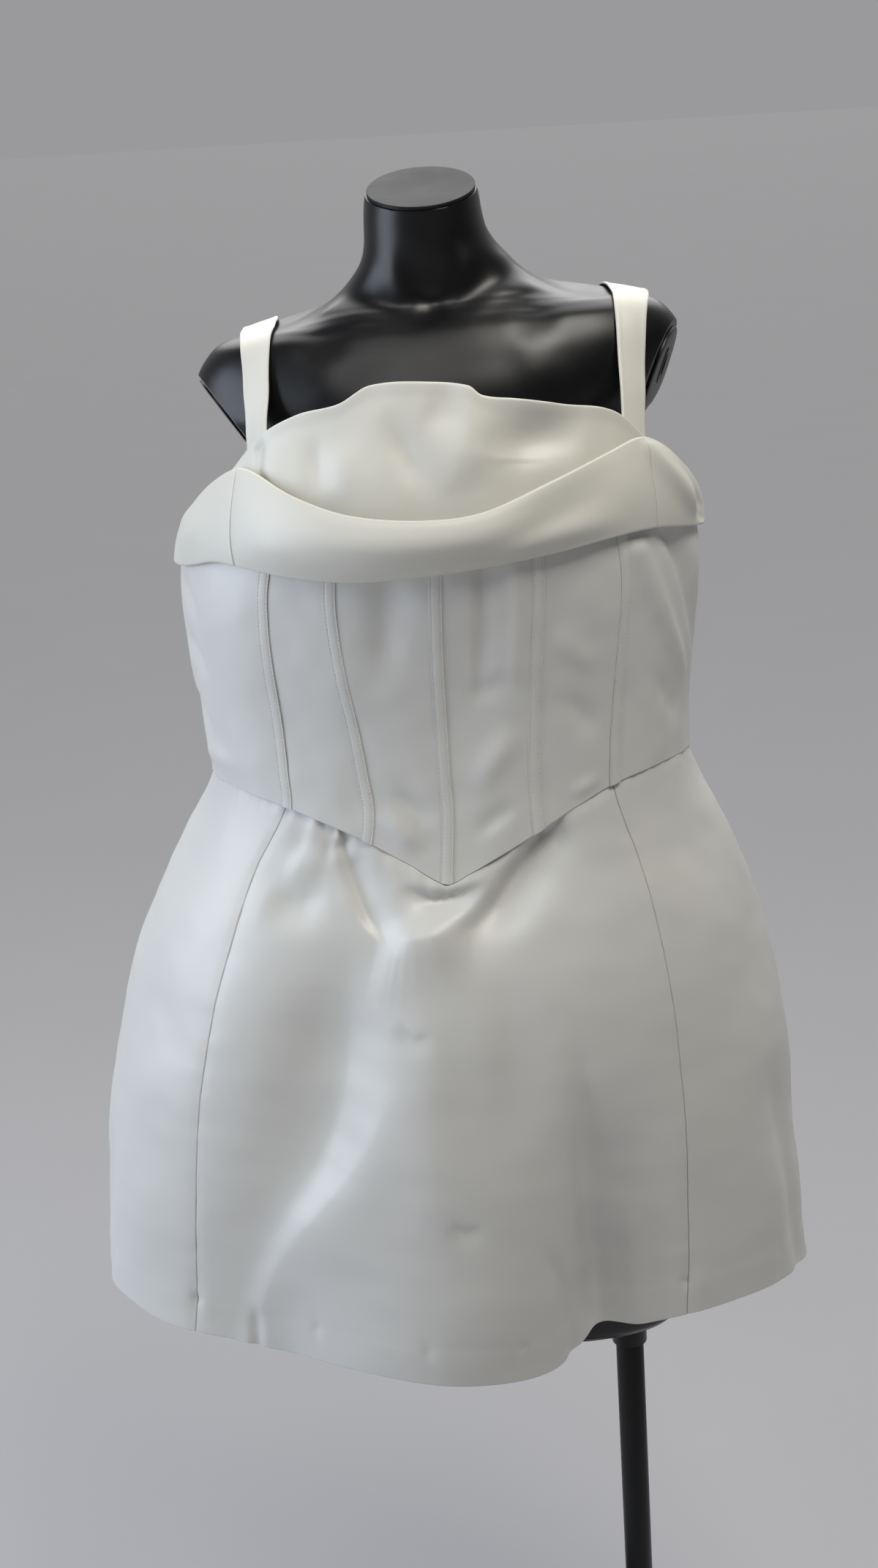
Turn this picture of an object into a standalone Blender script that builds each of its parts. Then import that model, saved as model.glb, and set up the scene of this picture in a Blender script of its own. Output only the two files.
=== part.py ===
"""A corset mini dress in ivory satin, worn by a black dress form that stands on a pole.

Metres, +Z up. The front faces -Y, and +X is the viewer's right. The origin is the middle of
the base plate's underside. The cloth pieces are walls cut from one smooth surface, the
dress's outside, which is read from a table of level sections.
"""

import math
from collections import namedtuple

import bmesh
import bpy
from mathutils import Matrix, Vector
from mathutils.bvhtree import BVHTree

SEAM_GAP = 0.0003
CLOTH_WALL = 0.0018
STRAP_WALL = 0.0016
STRAP_WIDTH = 0.030
CHANNEL_WALL = 0.0014
CHANNEL_WIDTH = 0.0100
BAND_WALL = 0.0036

BODICE_TOP = 1.243
CENTRE_BACK = 180.0
SIDE_SEAM = 91.0
COWL_END = 59.0

FORM_BASE = 0.507
NECK_TOP = 1.4985
NECK_TILT = 0.242
NECK_CAP_WALL = 0.003
ARM_PLATE_WALL = 0.002
SHOULDER_TILT = 0.052
SHOULDER_SHIFT = 0.005

POLE_X = 0.128
POLE_RADIUS = 0.0127
COLLAR_RADIUS = 0.0159
COLLAR_FOOT = 0.4550
BASE_RADIUS = 0.200
BASE_WALL = 0.006
SOCKET_TOP = 0.040

Section = namedtuple("Section", "height half_width front back centre_x square")
DRESS_SECTIONS = (
    Section(0.530, 0.3190, 0.214, 0.204, -0.0275, 0.014),
    Section(0.580, 0.3150, 0.214, 0.203, -0.027, 0.015),
    Section(0.630, 0.3110, 0.214, 0.201, -0.0255, 0.017),
    Section(0.680, 0.3065, 0.213, 0.199, -0.0245, 0.020),
    Section(0.730, 0.3020, 0.211, 0.196, -0.023, 0.020),
    Section(0.780, 0.2950, 0.208, 0.192, -0.020, 0.020),
    Section(0.830, 0.2845, 0.202, 0.186, -0.0165, 0.020),
    Section(0.880, 0.2705, 0.192, 0.175, -0.0145, 0.025),
    Section(0.930, 0.2510, 0.174, 0.157, -0.011, 0.030),
    Section(0.975, 0.2300, 0.154, 0.138, -0.0075, 0.035),
    Section(1.024, 0.2060, 0.147, 0.121, -0.004, 0.040),
    Section(1.060, 0.2055, 0.147, 0.118, -0.005, 0.040),
    Section(1.100, 0.2080, 0.150, 0.120, -0.005, 0.040),
    Section(1.150, 0.2130, 0.160, 0.125, -0.005, 0.035),
    Section(1.205, 0.2155, 0.171, 0.129, -0.003, 0.030),
    Section(1.245, 0.2075, 0.176, 0.129, 0.000, 0.028),
    Section(1.290, 0.1960, 0.168, 0.126, 0.005, 0.025),
    Section(1.330, 0.1870, 0.154, 0.122, 0.009, 0.020),
    Section(1.380, 0.1760, 0.136, 0.118, 0.011, 0.015),
)

Fold = namedtuple("Fold", "angle spread depth top bottom")
SKIRT_FOLDS = (
    Fold(2.0, 15.0, 0.022, 0.93, 0.58),
    Fold(27.0, 8.5, -0.040, 0.84, 0.56),
    Fold(-28.0, 11.0, -0.018, 0.90, 0.57),
    Fold(58.0, 14.0, 0.010, 0.90, 0.57),
    Fold(-62.0, 15.0, 0.009, 0.92, 0.58),
    Fold(112.0, 12.0, -0.012, 0.88, 0.57),
    Fold(-116.0, 13.0, -0.014, 0.90, 0.57),
    Fold(152.0, 12.0, -0.020, 0.88, 0.57),
    Fold(-150.0, 12.0, -0.022, 0.88, 0.57),
    Fold(176.0, 15.0, 0.014, 0.93, 0.58),
)

Edge = namedtuple("Edge", "angle height")
WAIST_SEAM = (
    Edge(-180.0, 1.030),
    Edge(-90.0, 1.029),
    Edge(-65.0, 1.035),
    Edge(-52.0, 1.0345),
    Edge(-37.0, 1.0270),
    Edge(-26.0, 1.0160),
    Edge(-16.4, 1.0025),
    Edge(-7.0, 0.9845),
    Edge(1.0, 0.9680),
    Edge(6.0, 0.9755),
    Edge(11.0, 0.9855),
    Edge(20.7, 1.0040),
    Edge(30.0, 1.0200),
    Edge(40.6, 1.0330),
    Edge(55.0, 1.0393),
    Edge(72.0, 1.0370),
    Edge(90.0, 1.0310),
    Edge(180.0, 1.030),
)
HEM = (
    Edge(-180.0, 0.556),
    Edge(-135.0, 0.562),
    Edge(-105.0, 0.560),
    Edge(-90.0, 0.567),
    Edge(-75.0, 0.577),
    Edge(-60.0, 0.580),
    Edge(-49.0, 0.572),
    Edge(-38.0, 0.567),
    Edge(-26.0, 0.560),
    Edge(-11.0, 0.562),
    Edge(3.0, 0.556),
    Edge(13.0, 0.5515),
    Edge(19.0, 0.5515),
    Edge(26.5, 0.563),
    Edge(32.0, 0.567),
    Edge(39.0, 0.576),
    Edge(50.0, 0.5785),
    Edge(62.0, 0.574),
    Edge(71.0, 0.565),
    Edge(90.0, 0.547),
    Edge(110.0, 0.548),
    Edge(135.0, 0.556),
    Edge(180.0, 0.556),
)
COWL_TOP = (
    Edge(-60.0, 1.285),
    Edge(-49.0, 1.3226),
    Edge(-36.2, 1.3447),
    Edge(-24.3, 1.3538),
    Edge(-16.2, 1.3672),
    Edge(0.0, 1.3676),
    Edge(8.0, 1.3630),
    Edge(11.0, 1.3555),
    Edge(18.5, 1.3510),
    Edge(29.3, 1.3447),
    Edge(45.0, 1.3345),
    Edge(54.7, 1.3110),
    Edge(60.0, 1.290),
)

Line = namedtuple("Line", "height left right")
PRINCESS_SEAMS = (
    Line(0.500, -42.8, 39.5),
    Line(0.580, -42.6, 39.9),
    Line(0.620, -42.4, 40.6),
    Line(0.720, -41.9, 41.4),
    Line(0.830, -42.1, 41.8),
    Line(0.920, -40.8, 42.0),
    Line(0.985, -40.2, 41.3),
    Line(1.035, -37.0, 40.6),
)

Band = namedtuple("Band", "angle low high low_out high_out belly")
FOLDED_BAND = (
    Band(-180.0, 1.214, 1.254, 0.0045, 0.0042, 0.0010),
    Band(-120.0, 1.212, 1.248, 0.0045, 0.0042, 0.0012),
    Band(-90.0, 1.211, 1.243, 0.0045, 0.0042, 0.0015),
    Band(-73.0, 1.216, 1.262, 0.0046, 0.0042, 0.0020),
    Band(-61.0, 1.223, 1.287, 0.0048, 0.0042, 0.0030),
    Band(-51.0, 1.231, 1.302, 0.0056, 0.0042, 0.0035),
    Band(-43.5, 1.2314, 1.3010, 0.0065, 0.0060, 0.0045),
    Band(-29.0, 1.2275, 1.2844, 0.0080, 0.0130, 0.0060),
    Band(-16.0, 1.2250, 1.2728, 0.0085, 0.0175, 0.0065),
    Band(0.0, 1.2285, 1.2688, 0.0085, 0.0180, 0.0060),
    Band(11.0, 1.2320, 1.2722, 0.0080, 0.0170, 0.0060),
    Band(26.0, 1.2374, 1.2900, 0.0075, 0.0125, 0.0055),
    Band(41.0, 1.2420, 1.3045, 0.0065, 0.0060, 0.0045),
    Band(52.0, 1.2410, 1.3105, 0.0056, 0.0042, 0.0035),
    Band(61.0, 1.2360, 1.3000, 0.0048, 0.0042, 0.0035),
    Band(73.0, 1.228, 1.276, 0.0046, 0.0042, 0.0025),
    Band(90.0, 1.219, 1.249, 0.0045, 0.0042, 0.0015),
    Band(120.0, 1.215, 1.250, 0.0045, 0.0042, 0.0012),
    Band(180.0, 1.214, 1.254, 0.0045, 0.0042, 0.0010),
)
BAND_LEVELS = 4
BAND_CORNERS = (-50.4, 53.0)
CORNER_SLANT = 6.9
CORNER_REACH = 14.0

Bone = namedtuple("Bone", "name angle_at_band angle_at_waist")
BONES = (
    Bone("back_inner_L", -157.0, -159.0),
    Bone("back_outer_L", -138.0, -140.0),
    Bone("front_outer_L", -36.6, -37.0),
    Bone("front_inner_L", -20.9, -16.4),
    Bone("centre_front", 1.5, 1.0),
    Bone("front_inner_R", 22.9, 20.7),
    Bone("front_outer_R", 43.4, 40.6),
    Bone("back_outer_R", 138.0, 140.0),
    Bone("back_inner_R", 157.0, 159.0),
)

FormRing = namedtuple("FormRing", "level side_z front_z back_z half_width front back square")
FORM_RINGS = (
    FormRing(0, 0.507, 0.507, 0.507, 0.170, 0.090, 0.094, 0.16),
    FormRing(1, 0.519, 0.519, 0.519, 0.177, 0.098, 0.102, 0.15),
    FormRing(2, 0.560, 0.560, 0.560, 0.181, 0.103, 0.110, 0.12),
    FormRing(3, 0.680, 0.680, 0.680, 0.185, 0.104, 0.122, 0.07),
    FormRing(4, 0.800, 0.800, 0.800, 0.184, 0.102, 0.130, 0.04),
    FormRing(5, 0.880, 0.880, 0.880, 0.174, 0.100, 0.122, 0.03),
    FormRing(6, 0.960, 0.960, 0.960, 0.152, 0.098, 0.100, 0.03),
    FormRing(7, 1.030, 1.030, 1.030, 0.134, 0.096, 0.086, 0.03),
    FormRing(8, 1.090, 1.090, 1.090, 0.134, 0.096, 0.086, 0.03),
    FormRing(9, 1.150, 1.150, 1.150, 0.140, 0.099, 0.092, 0.03),
    FormRing(10, 1.208, 1.210, 1.208, 0.146, 0.105, 0.098, 0.03),
    FormRing(11, 1.255, 1.262, 1.258, 0.147, 0.109, 0.102, 0.02),
    FormRing(12, 1.294, 1.308, 1.300, 0.147, 0.107, 0.104, 0.01),
    FormRing(13, 1.324, 1.346, 1.340, 0.188, 0.099, 0.103, 0.0),
    FormRing(14, 1.364, 1.374, 1.376, 0.198, 0.084, 0.099, 0.0),
    FormRing(15, 1.391, 1.394, 1.402, 0.182, 0.071, 0.092, 0.0),
    FormRing(16, 1.400, 1.404, 1.414, 0.158, 0.061, 0.084, 0.0),
    FormRing(17, 1.403, 1.411, 1.422, 0.132, 0.054, 0.077, 0.0),
    FormRing(18, 1.408, 1.417, 1.431, 0.107, 0.050, 0.070, 0.0),
    FormRing(19, 1.420, 1.426, 1.443, 0.084, 0.048, 0.063, 0.0),
    FormRing(20, 1.437, 1.440, 1.460, 0.065, 0.048, 0.057, 0.0),
    FormRing(21, 1.4595, 1.459, 1.478, 0.051, 0.049, 0.053, 0.0),
    FormRing(22, 1.4985, 1.4865, 1.5105, 0.0435, 0.049, 0.050, 0.0),
)
FORM_SIDES = 32
FORM_STEP = 0.5

ArmCut = namedtuple("ArmCut", "side mark top_x top_z foot_x foot_z")
ARM_CUTS = (
    ArmCut(1, "R", 0.199, 1.381, 0.170, 1.3035),
    ArmCut(-1, "L", -0.189, 1.355, -0.155, 1.302),
)
ARMPIT = 1.290


def remove_what_is_there():
    for old in list(bpy.data.objects):
        bpy.data.objects.remove(old, do_unlink=True)


def material(name, colour, roughness, metallic=0.0):
    made = bpy.data.materials.new(name)
    made.use_nodes = True
    shader = made.node_tree.nodes["Principled BSDF"]
    shader.inputs["Base Color"].default_value = (*colour, 1.0)
    shader.inputs["Roughness"].default_value = roughness
    shader.inputs["Metallic"].default_value = metallic
    made.diffuse_color = (*colour, 1.0)
    return made


def smoothstep(low, high, value):
    share = min(1.0, max(0.0, (value - low) / (high - low)))
    return share * share * (3.0 - 2.0 * share)


def mix(low, high, share):
    return low + (high - low) * share


def along(rows, column, at):
    """A table's column at a key, on a smooth curve through its rows. The first column is the key."""
    keys = [row[0] for row in rows]
    values = [getattr(row, column) for row in rows]
    at = min(max(at, keys[0]), keys[-1])
    low = max(i for i in range(len(keys) - 1) if keys[i] <= at)

    def slope(i):
        before, after = max(i - 1, 0), min(i + 1, len(keys) - 1)
        return (values[after] - values[before]) / (keys[after] - keys[before])

    width = keys[low + 1] - keys[low]
    s = (at - keys[low]) / width
    rise, run_in, run_out = s * s * (3 - 2 * s), s * (1 - s) ** 2, s * s * (1 - s)
    return (
        mix(values[low], values[low + 1], rise)
        + width * slope(low) * run_in
        - width * slope(low + 1) * run_out
    )


def fold_depth(angle, height):
    """How far the skirt's folds move a point out. They deepen towards the hem."""
    total = 0.0
    for fold in SKIRT_FOLDS:
        away = (angle - fold.angle + 180.0) % 360.0 - 180.0
        grown = 1.0 - smoothstep(fold.bottom, fold.top, height)
        total += fold.depth * grown * math.exp(-((away / fold.spread) ** 2))
    return total


def dress_surface(angle, height):
    """A point of the dress's outside. Angle 0 is the centre front, and it grows towards +X."""
    half_width = along(DRESS_SECTIONS, "half_width", height)
    turn = math.radians(angle)
    side = "front" if math.cos(turn) > 0 else "back"
    depth = along(DRESS_SECTIONS, side, height)
    swell = 1.0 + along(DRESS_SECTIONS, "square", height) * math.sin(2 * turn) ** 2
    x, y = half_width * math.sin(turn) * swell, -depth * math.cos(turn) * swell
    outward = Vector((x / half_width**2, y / depth**2, 0.0)).normalized()
    place = Vector((x + along(DRESS_SECTIONS, "centre_x", height), y, height))
    return place + outward * fold_depth(angle, height)


def dress_point(angle, height, out=0.0):
    """A point of the dress's outside, moved out along the surface's normal."""
    turn, rise = 0.5, 0.004
    across = dress_surface(angle + turn, height) - dress_surface(angle - turn, height)
    up = dress_surface(angle, height + rise) - dress_surface(angle, height - rise)
    return dress_surface(angle, height) + across.cross(up).normalized() * out


def degrees_for(distance, angle, height):
    """The turn that covers a distance along the dress's outside."""
    step = 1.0
    length = (dress_surface(angle + step, height) - dress_surface(angle, height)).length
    return distance / length * step


def add_object(name, mesh, finish):
    mesh.materials.append(finish)
    made = bpy.data.objects.new(name, mesh)
    bpy.context.scene.collection.objects.link(made)
    return made


def wall(name, outer, inner, finish):
    """A closed wall between two grids of points, each a list of rows that run up the piece."""
    rows, columns = len(outer), len(outer[0])
    shape = bmesh.new()
    face_grid = [[shape.verts.new(p) for p in row] for row in outer]
    back_grid = [[shape.verts.new(p) for p in row] for row in inner]
    for j in range(rows - 1):
        for i in range(columns - 1):
            a, b = face_grid[j][i], face_grid[j][i + 1]
            c, d = face_grid[j + 1][i + 1], face_grid[j + 1][i]
            shape.faces.new((a, b, c, d))
            a, b = back_grid[j][i], back_grid[j][i + 1]
            c, d = back_grid[j + 1][i + 1], back_grid[j + 1][i]
            shape.faces.new((d, c, b, a))
    rim = [(0, i) for i in range(columns - 1)]
    rim += [(j, columns - 1) for j in range(rows - 1)]
    rim += [(rows - 1, i) for i in range(columns - 1, 0, -1)]
    rim += [(j, 0) for j in range(rows - 1, 0, -1)]
    for (j, i), (n, m) in zip(rim, rim[1:] + rim[:1]):
        shape.faces.new(
            (face_grid[n][m], face_grid[j][i], back_grid[j][i], back_grid[n][m])
        )
    mesh = bpy.data.meshes.new(name)
    shape.to_mesh(mesh)
    shape.free()
    mesh.shade_smooth()
    mesh.set_sharp_from_angle(angle=math.radians(40))
    return add_object(name, mesh, finish)


def even(count):
    return [i / count for i in range(count + 1)]


def panel(name, left, right, low, high, shares, up, finish, out=0.0, thick=CLOTH_WALL):
    """A cloth panel between two seam lines, which are angles by height, and two edges, heights
    by angle. Its outside lies out from the dress's outside, and it stops short at each seam.
    The shares place its columns between the seam lines."""

    def place(share, j):
        angle = mix(left(1.0), right(1.0), share)
        for _ in range(3):
            height = mix(low(angle) + SEAM_GAP / 2, high(angle) - SEAM_GAP / 2, j / up)
            start, end = left(height), right(height)
            start += degrees_for(SEAM_GAP / 2, start, height)
            end -= degrees_for(SEAM_GAP / 2, end, height)
            angle = mix(start, end, share)
        return angle, height

    spots = [[place(share, j) for share in shares] for j in range(up + 1)]
    outer = [[dress_point(a, h, out) for a, h in row] for row in spots]
    inner = [[dress_point(a, h, out - thick) for a, h in row] for row in spots]
    return wall(name, outer, inner, finish)


def steady(angle):
    return lambda height: angle


def waist_height(angle):
    return along(WAIST_SEAM, "height", angle)


def hem_height(angle):
    return along(HEM, "height", angle)


def cowl_height(angle):
    return along(COWL_TOP, "height", angle)


def bodice_height(angle):
    return BODICE_TOP


def bone_line(bone):
    """A bone's angle by height."""

    def line(height):
        share = smoothstep(0.98, BODICE_TOP, height)
        return mix(bone.angle_at_waist, bone.angle_at_band, share)

    return line


def princess_line(side):
    """The angle by height of a skirt seam that carries on from a front bone."""
    return lambda height: along(PRINCESS_SEAMS, side, height)


def shares_at_waist(stops, count, left, right):
    """Columns that pass through each stop at the waist seam, with the same count between each
    two of them."""
    angles = [mix(a, b, i / count) for a, b in zip(stops, stops[1:]) for i in range(count)]
    shares = []
    for angle in [*angles, stops[-1]]:
        height = waist_height(angle)
        shares.append((angle - left(height)) / (right(height) - left(height)))
    shares[0], shares[-1] = 0.0, 1.0
    return shares


def skirt(satin):
    """The skirt's seven panels. Each one's columns meet those of the bodice at the waist."""
    turns = {bone.name: bone.angle_at_waist for bone in BONES}
    left, right = turns["front_outer_L"], turns["front_outer_R"]
    inner = (turns["front_inner_L"], turns["centre_front"], turns["front_inner_R"])
    back_left = (turns["back_inner_L"], turns["back_outer_L"])
    back_right = (turns["back_outer_R"], turns["back_inner_R"])
    cuts = {
        "front": ((left, *inner, right), 4),
        "side_front_R": ((right, SIDE_SEAM), 7),
        "side_back_R": ((SIDE_SEAM, back_right[0]), 6),
        "back_R": ((*back_right, CENTRE_BACK), 3),
        "side_front_L": ((-SIDE_SEAM, left), 7),
        "side_back_L": ((back_left[1], -SIDE_SEAM), 6),
        "back_L": ((-CENTRE_BACK, *back_left), 3),
    }
    shaped = {left: princess_line("left"), right: princess_line("right")}
    for name, (stops, count) in cuts.items():
        lines = [shaped.get(turn, steady(turn)) for turn in (stops[0], stops[-1])]
        edges = (*lines, hem_height, waist_height)
        shares = shares_at_waist(stops, count, *lines)
        panel(f"skirt_{name}", *edges, shares, 11, satin)


def bodice(satin):
    """Twelve bodice panels from the waist seam to just under the folded band."""
    lines = [bone_line(bone) for bone in BONES]
    lines.insert(7, steady(SIDE_SEAM))
    lines.insert(2, steady(-SIDE_SEAM))
    lines = [steady(-CENTRE_BACK), *lines, steady(CENTRE_BACK)]
    names = ("centre_back", "back", "side_back", "side_front", "front", "centre_front")
    names = [f"{name}_L" for name in names] + [f"{name}_R" for name in reversed(names)]
    widths = (3, 3, 6, 7, 4, 4, 4, 4, 7, 6, 3, 3)
    for name, across, *pair in zip(names, widths, lines, lines[1:]):
        edges = (*pair, waist_height, bodice_height)
        panel(f"bodice_{name}", *edges, even(across), 7, satin)


def bone_channels(satin):
    """Narrow stitched strips that lie on the bodice seams and hold the bones."""
    for bone in BONES:
        line = bone_line(bone)

        def edge(shift, line=line):
            def at(height):
                middle = line(height)
                return middle + degrees_for(shift * CHANNEL_WIDTH / 2, middle, height)

            return at

        edges = (edge(-1), edge(1), waist_height, bodice_height)
        out = SEAM_GAP + CHANNEL_WALL
        name = f"bone_channel_{bone.name}"
        panel(name, *edges, even(2), 7, satin, out=out, thick=CHANNEL_WALL)


def cowl(satin):
    """The upper bust panel. Its soft top edge is the neckline, and the band covers its foot."""
    edges = (steady(-COWL_END), steady(COWL_END), bodice_height, cowl_height)
    panel("bust_panel", *edges, even(24), 6, satin)


def corner_slant(angle, share):
    """How far the left corner's seam leans: its foot lies nearer the centre than its top."""
    near = math.exp(-(((angle - BAND_CORNERS[0]) / CORNER_REACH) ** 2))
    return CORNER_SLANT * near * (1.0 - share)


def band_section(angle):
    """The folded band's section at an angle, as a closed loop of points: up its outside, over
    its upper fold, down its inside and round its lower fold."""
    half = BAND_WALL / 2
    spine = []
    for k in range(BAND_LEVELS + 1):
        share = k / BAND_LEVELS
        turn = angle + corner_slant(angle, share)
        low, high, low_out, high_out, belly = (
            along(FOLDED_BAND, column, turn) for column in Band._fields[1:]
        )
        height = mix(low + half, high - half, share)
        out = mix(low_out, high_out, share) + belly * 4 * share * (1 - share)
        spine.append((turn, height, out))
    outside = [dress_point(turn, height, out + half) for turn, height, out in spine]
    inside = [dress_point(turn, height, out - half) for turn, height, out in spine]
    turn, height, out = spine[0]
    foot = dress_point(turn, height - half, out)
    turn, height, out = spine[-1]
    top = dress_point(turn, height + half, out)
    return [*outside, top, *reversed(inside), foot]


def close_end(shape, loop, first):
    """Fills a band's end face with rungs between its outside and its inside."""
    last = BAND_LEVELS
    outside, top = loop[: last + 1], loop[last + 1]
    inside, foot = loop[last + 2 : -1][::-1], loop[-1]
    faces = [(outside[last], top, inside[last]), (outside[0], inside[0], foot)]
    for k in range(last):
        faces.append((outside[k], outside[k + 1], inside[k + 1], inside[k]))
    for face in faces:
        shape.faces.new(face if first else face[::-1])


def folded_band(satin):
    """The cuff of folded satin round the neckline: the draped front and a piece for each side,
    which meet the front at the corners and each other at the centre back."""
    cuts = {
        "band_front": (*BAND_CORNERS, 24),
        "band_side_R": (BAND_CORNERS[1], CENTRE_BACK, 22),
        "band_side_L": (-CENTRE_BACK, BAND_CORNERS[0], 22),
    }
    for name, (start, end, across) in cuts.items():
        start += degrees_for(SEAM_GAP / 2, start, BODICE_TOP)
        end -= degrees_for(SEAM_GAP / 2, end, BODICE_TOP)
        shape = bmesh.new()
        loops = []
        for i in range(across + 1):
            section = band_section(mix(start, end, i / across))
            loops.append([shape.verts.new(p) for p in section])
        for now, ahead in zip(loops, loops[1:]):
            for k in range(len(now)):
                after = (k + 1) % len(now)
                shape.faces.new((now[k], ahead[k], ahead[after], now[after]))
        close_end(shape, loops[0], True)
        close_end(shape, loops[-1], False)
        mesh = bpy.data.meshes.new(name)
        shape.to_mesh(mesh)
        shape.free()
        mesh.shade_smooth()
        mesh.set_sharp_from_angle(angle=math.radians(60))
        add_object(name, mesh, satin)


def form_point(level, angle):
    """A point of the dress form, on the ring at a level. A ring's height changes round it."""
    turn = math.radians(angle)
    facing = math.cos(turn)
    half_width = along(FORM_RINGS, "half_width", level)
    depth = along(FORM_RINGS, "front" if facing > 0 else "back", level)
    reach = along(FORM_RINGS, "front_z" if facing > 0 else "back_z", level)
    height = mix(along(FORM_RINGS, "side_z", level), reach, facing * facing)
    swell = 1.0 + along(FORM_RINGS, "square", level) * math.sin(2 * turn) ** 2
    x = half_width * math.sin(turn) * swell
    shoulders = smoothstep(1.29, 1.38, height) * (1 - smoothstep(1.44, 1.48, height))
    x += SHOULDER_SHIFT * shoulders
    height += SHOULDER_TILT * x * shoulders
    return Vector((x, -depth * facing * swell, height))


def plate(name, loop, normal, thick, finish):
    """A flat plate over a cut face, a seam's gap off it. The loop is the plate's outline."""
    turned_way = sum((a.cross(b) for a, b in zip(loop, loop[1:] + loop[:1])), Vector())
    if turned_way.dot(normal) < 0:
        loop = loop[::-1]
    shape = bmesh.new()
    near = [shape.verts.new(p + normal * SEAM_GAP) for p in loop]
    far = [shape.verts.new(p + normal * (SEAM_GAP + thick)) for p in loop]
    for k in range(len(loop)):
        after = (k + 1) % len(loop)
        shape.faces.new((near[k], near[after], far[after], far[k]))
    shape.faces.new(reversed(near))
    shape.faces.new(far)
    mesh = bpy.data.meshes.new(name)
    shape.to_mesh(mesh)
    shape.free()
    mesh.shade_smooth()
    mesh.set_sharp_from_angle(angle=math.radians(40))
    return add_object(name, mesh, finish)


def dress_form(black):
    """The smooth torso, closed and with no arms, legs or head, and the plates on its cuts."""
    shape = bmesh.new()
    levels = round(FORM_RINGS[-1].level / FORM_STEP)
    rings = []
    for k in range(levels + 1):
        angles = [360.0 * i / FORM_SIDES for i in range(FORM_SIDES)]
        rings.append([shape.verts.new(form_point(k * FORM_STEP, a)) for a in angles])
    for v in rings[-1]:
        v.co.z = NECK_TOP + NECK_TILT * v.co.y
    for now, above in zip(rings, rings[1:]):
        for i in range(FORM_SIDES):
            after = (i + 1) % FORM_SIDES
            shape.faces.new((now[i], now[after], above[after], above[i]))
    shape.faces.new(reversed(rings[0]))
    top = shape.faces.new(rings[-1])
    top_loop = [v.co.copy() for v in top.verts]
    top.normal_update()
    top_normal = top.normal.copy()

    cut_loops = {}
    for cut in ARM_CUTS:
        foot = Vector((cut.foot_x, 0.0, cut.foot_z))
        rise = Vector((cut.top_x, 0.0, cut.top_z)) - foot
        normal = Vector((cut.side * rise.z, 0.0, -cut.side * rise.x)).normalized()
        near = [f for f in shape.faces if min(v.co.z for v in f.verts) > ARMPIT]
        near = [f for f in near if cut.side * f.calc_center_median().x > 0.09]
        parts = near + list({e for f in near for e in f.edges})
        parts += list({v for f in near for v in f.verts})
        bmesh.ops.bisect_plane(
            shape,
            geom=parts,
            plane_co=foot,
            plane_no=normal,
            clear_outer=True,
            dist=1e-6,
        )
        rim = [e for e in shape.edges if e.is_boundary]
        filled = bmesh.ops.contextual_create(shape, geom=rim)["faces"]
        cut_loops[cut.mark] = ([v.co.copy() for v in filled[0].verts], normal)
    bmesh.ops.recalc_face_normals(shape, faces=shape.faces[:])
    mesh = bpy.data.meshes.new("form_torso")
    shape.to_mesh(mesh)
    shape.free()
    mesh.shade_smooth()
    mesh.set_sharp_from_angle(angle=math.radians(38))
    torso = add_object("form_torso", mesh, black)

    plate("form_neck_cap", top_loop, top_normal, NECK_CAP_WALL, black)
    for mark, (loop, normal) in cut_loops.items():
        middle = sum(loop, Vector()) / len(loop)
        drawn_in = [middle + (p - middle) * 0.94 for p in loop]
        plate(f"form_arm_plate_{mark}", drawn_in, normal, ARM_PLATE_WALL, black)
    return torso


def upper_hull(points):
    """The taut line over points in a plane, each (along, height)."""
    hull = []
    for p in sorted(points):
        while len(hull) > 1:
            (ax, az), (bx, bz) = hull[-2], hull[-1]
            if (bx - ax) * (p[1] - az) - (bz - az) * (p[0] - ax) < 0:
                break
            hull.pop()
        hull.append(p)
    return hull


def spaced(points, count):
    """Points at even distances along a line of points."""
    lengths = [0.0]
    for a, b in zip(points, points[1:]):
        lengths.append(lengths[-1] + (b - a).length)
    found = []
    for k in range(count):
        at = lengths[-1] * k / (count - 1)
        i = max(n for n in range(len(lengths) - 1) if lengths[n] <= at + 1e-12)
        share = (at - lengths[i]) / max(lengths[i + 1] - lengths[i], 1e-9)
        found.append(points[i].lerp(points[i + 1], share))
    return found


Strap = namedtuple("Strap", "side mark top_x front_angle")
STRAPS = (Strap(1, "R", 0.1630, 48.5), Strap(-1, "L", -0.1380, 43.5))
STRAP_FRONT_TURN = 56.0
STRAP_BACK_ANGLE = 137.0
STRAP_FRONT_LEVELS = (1.272, 1.290, 1.308)
STRAP_BACK_LEVELS = (1.232, 1.220, 1.208)
STRAP_LIFT = 0.0025


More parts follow.
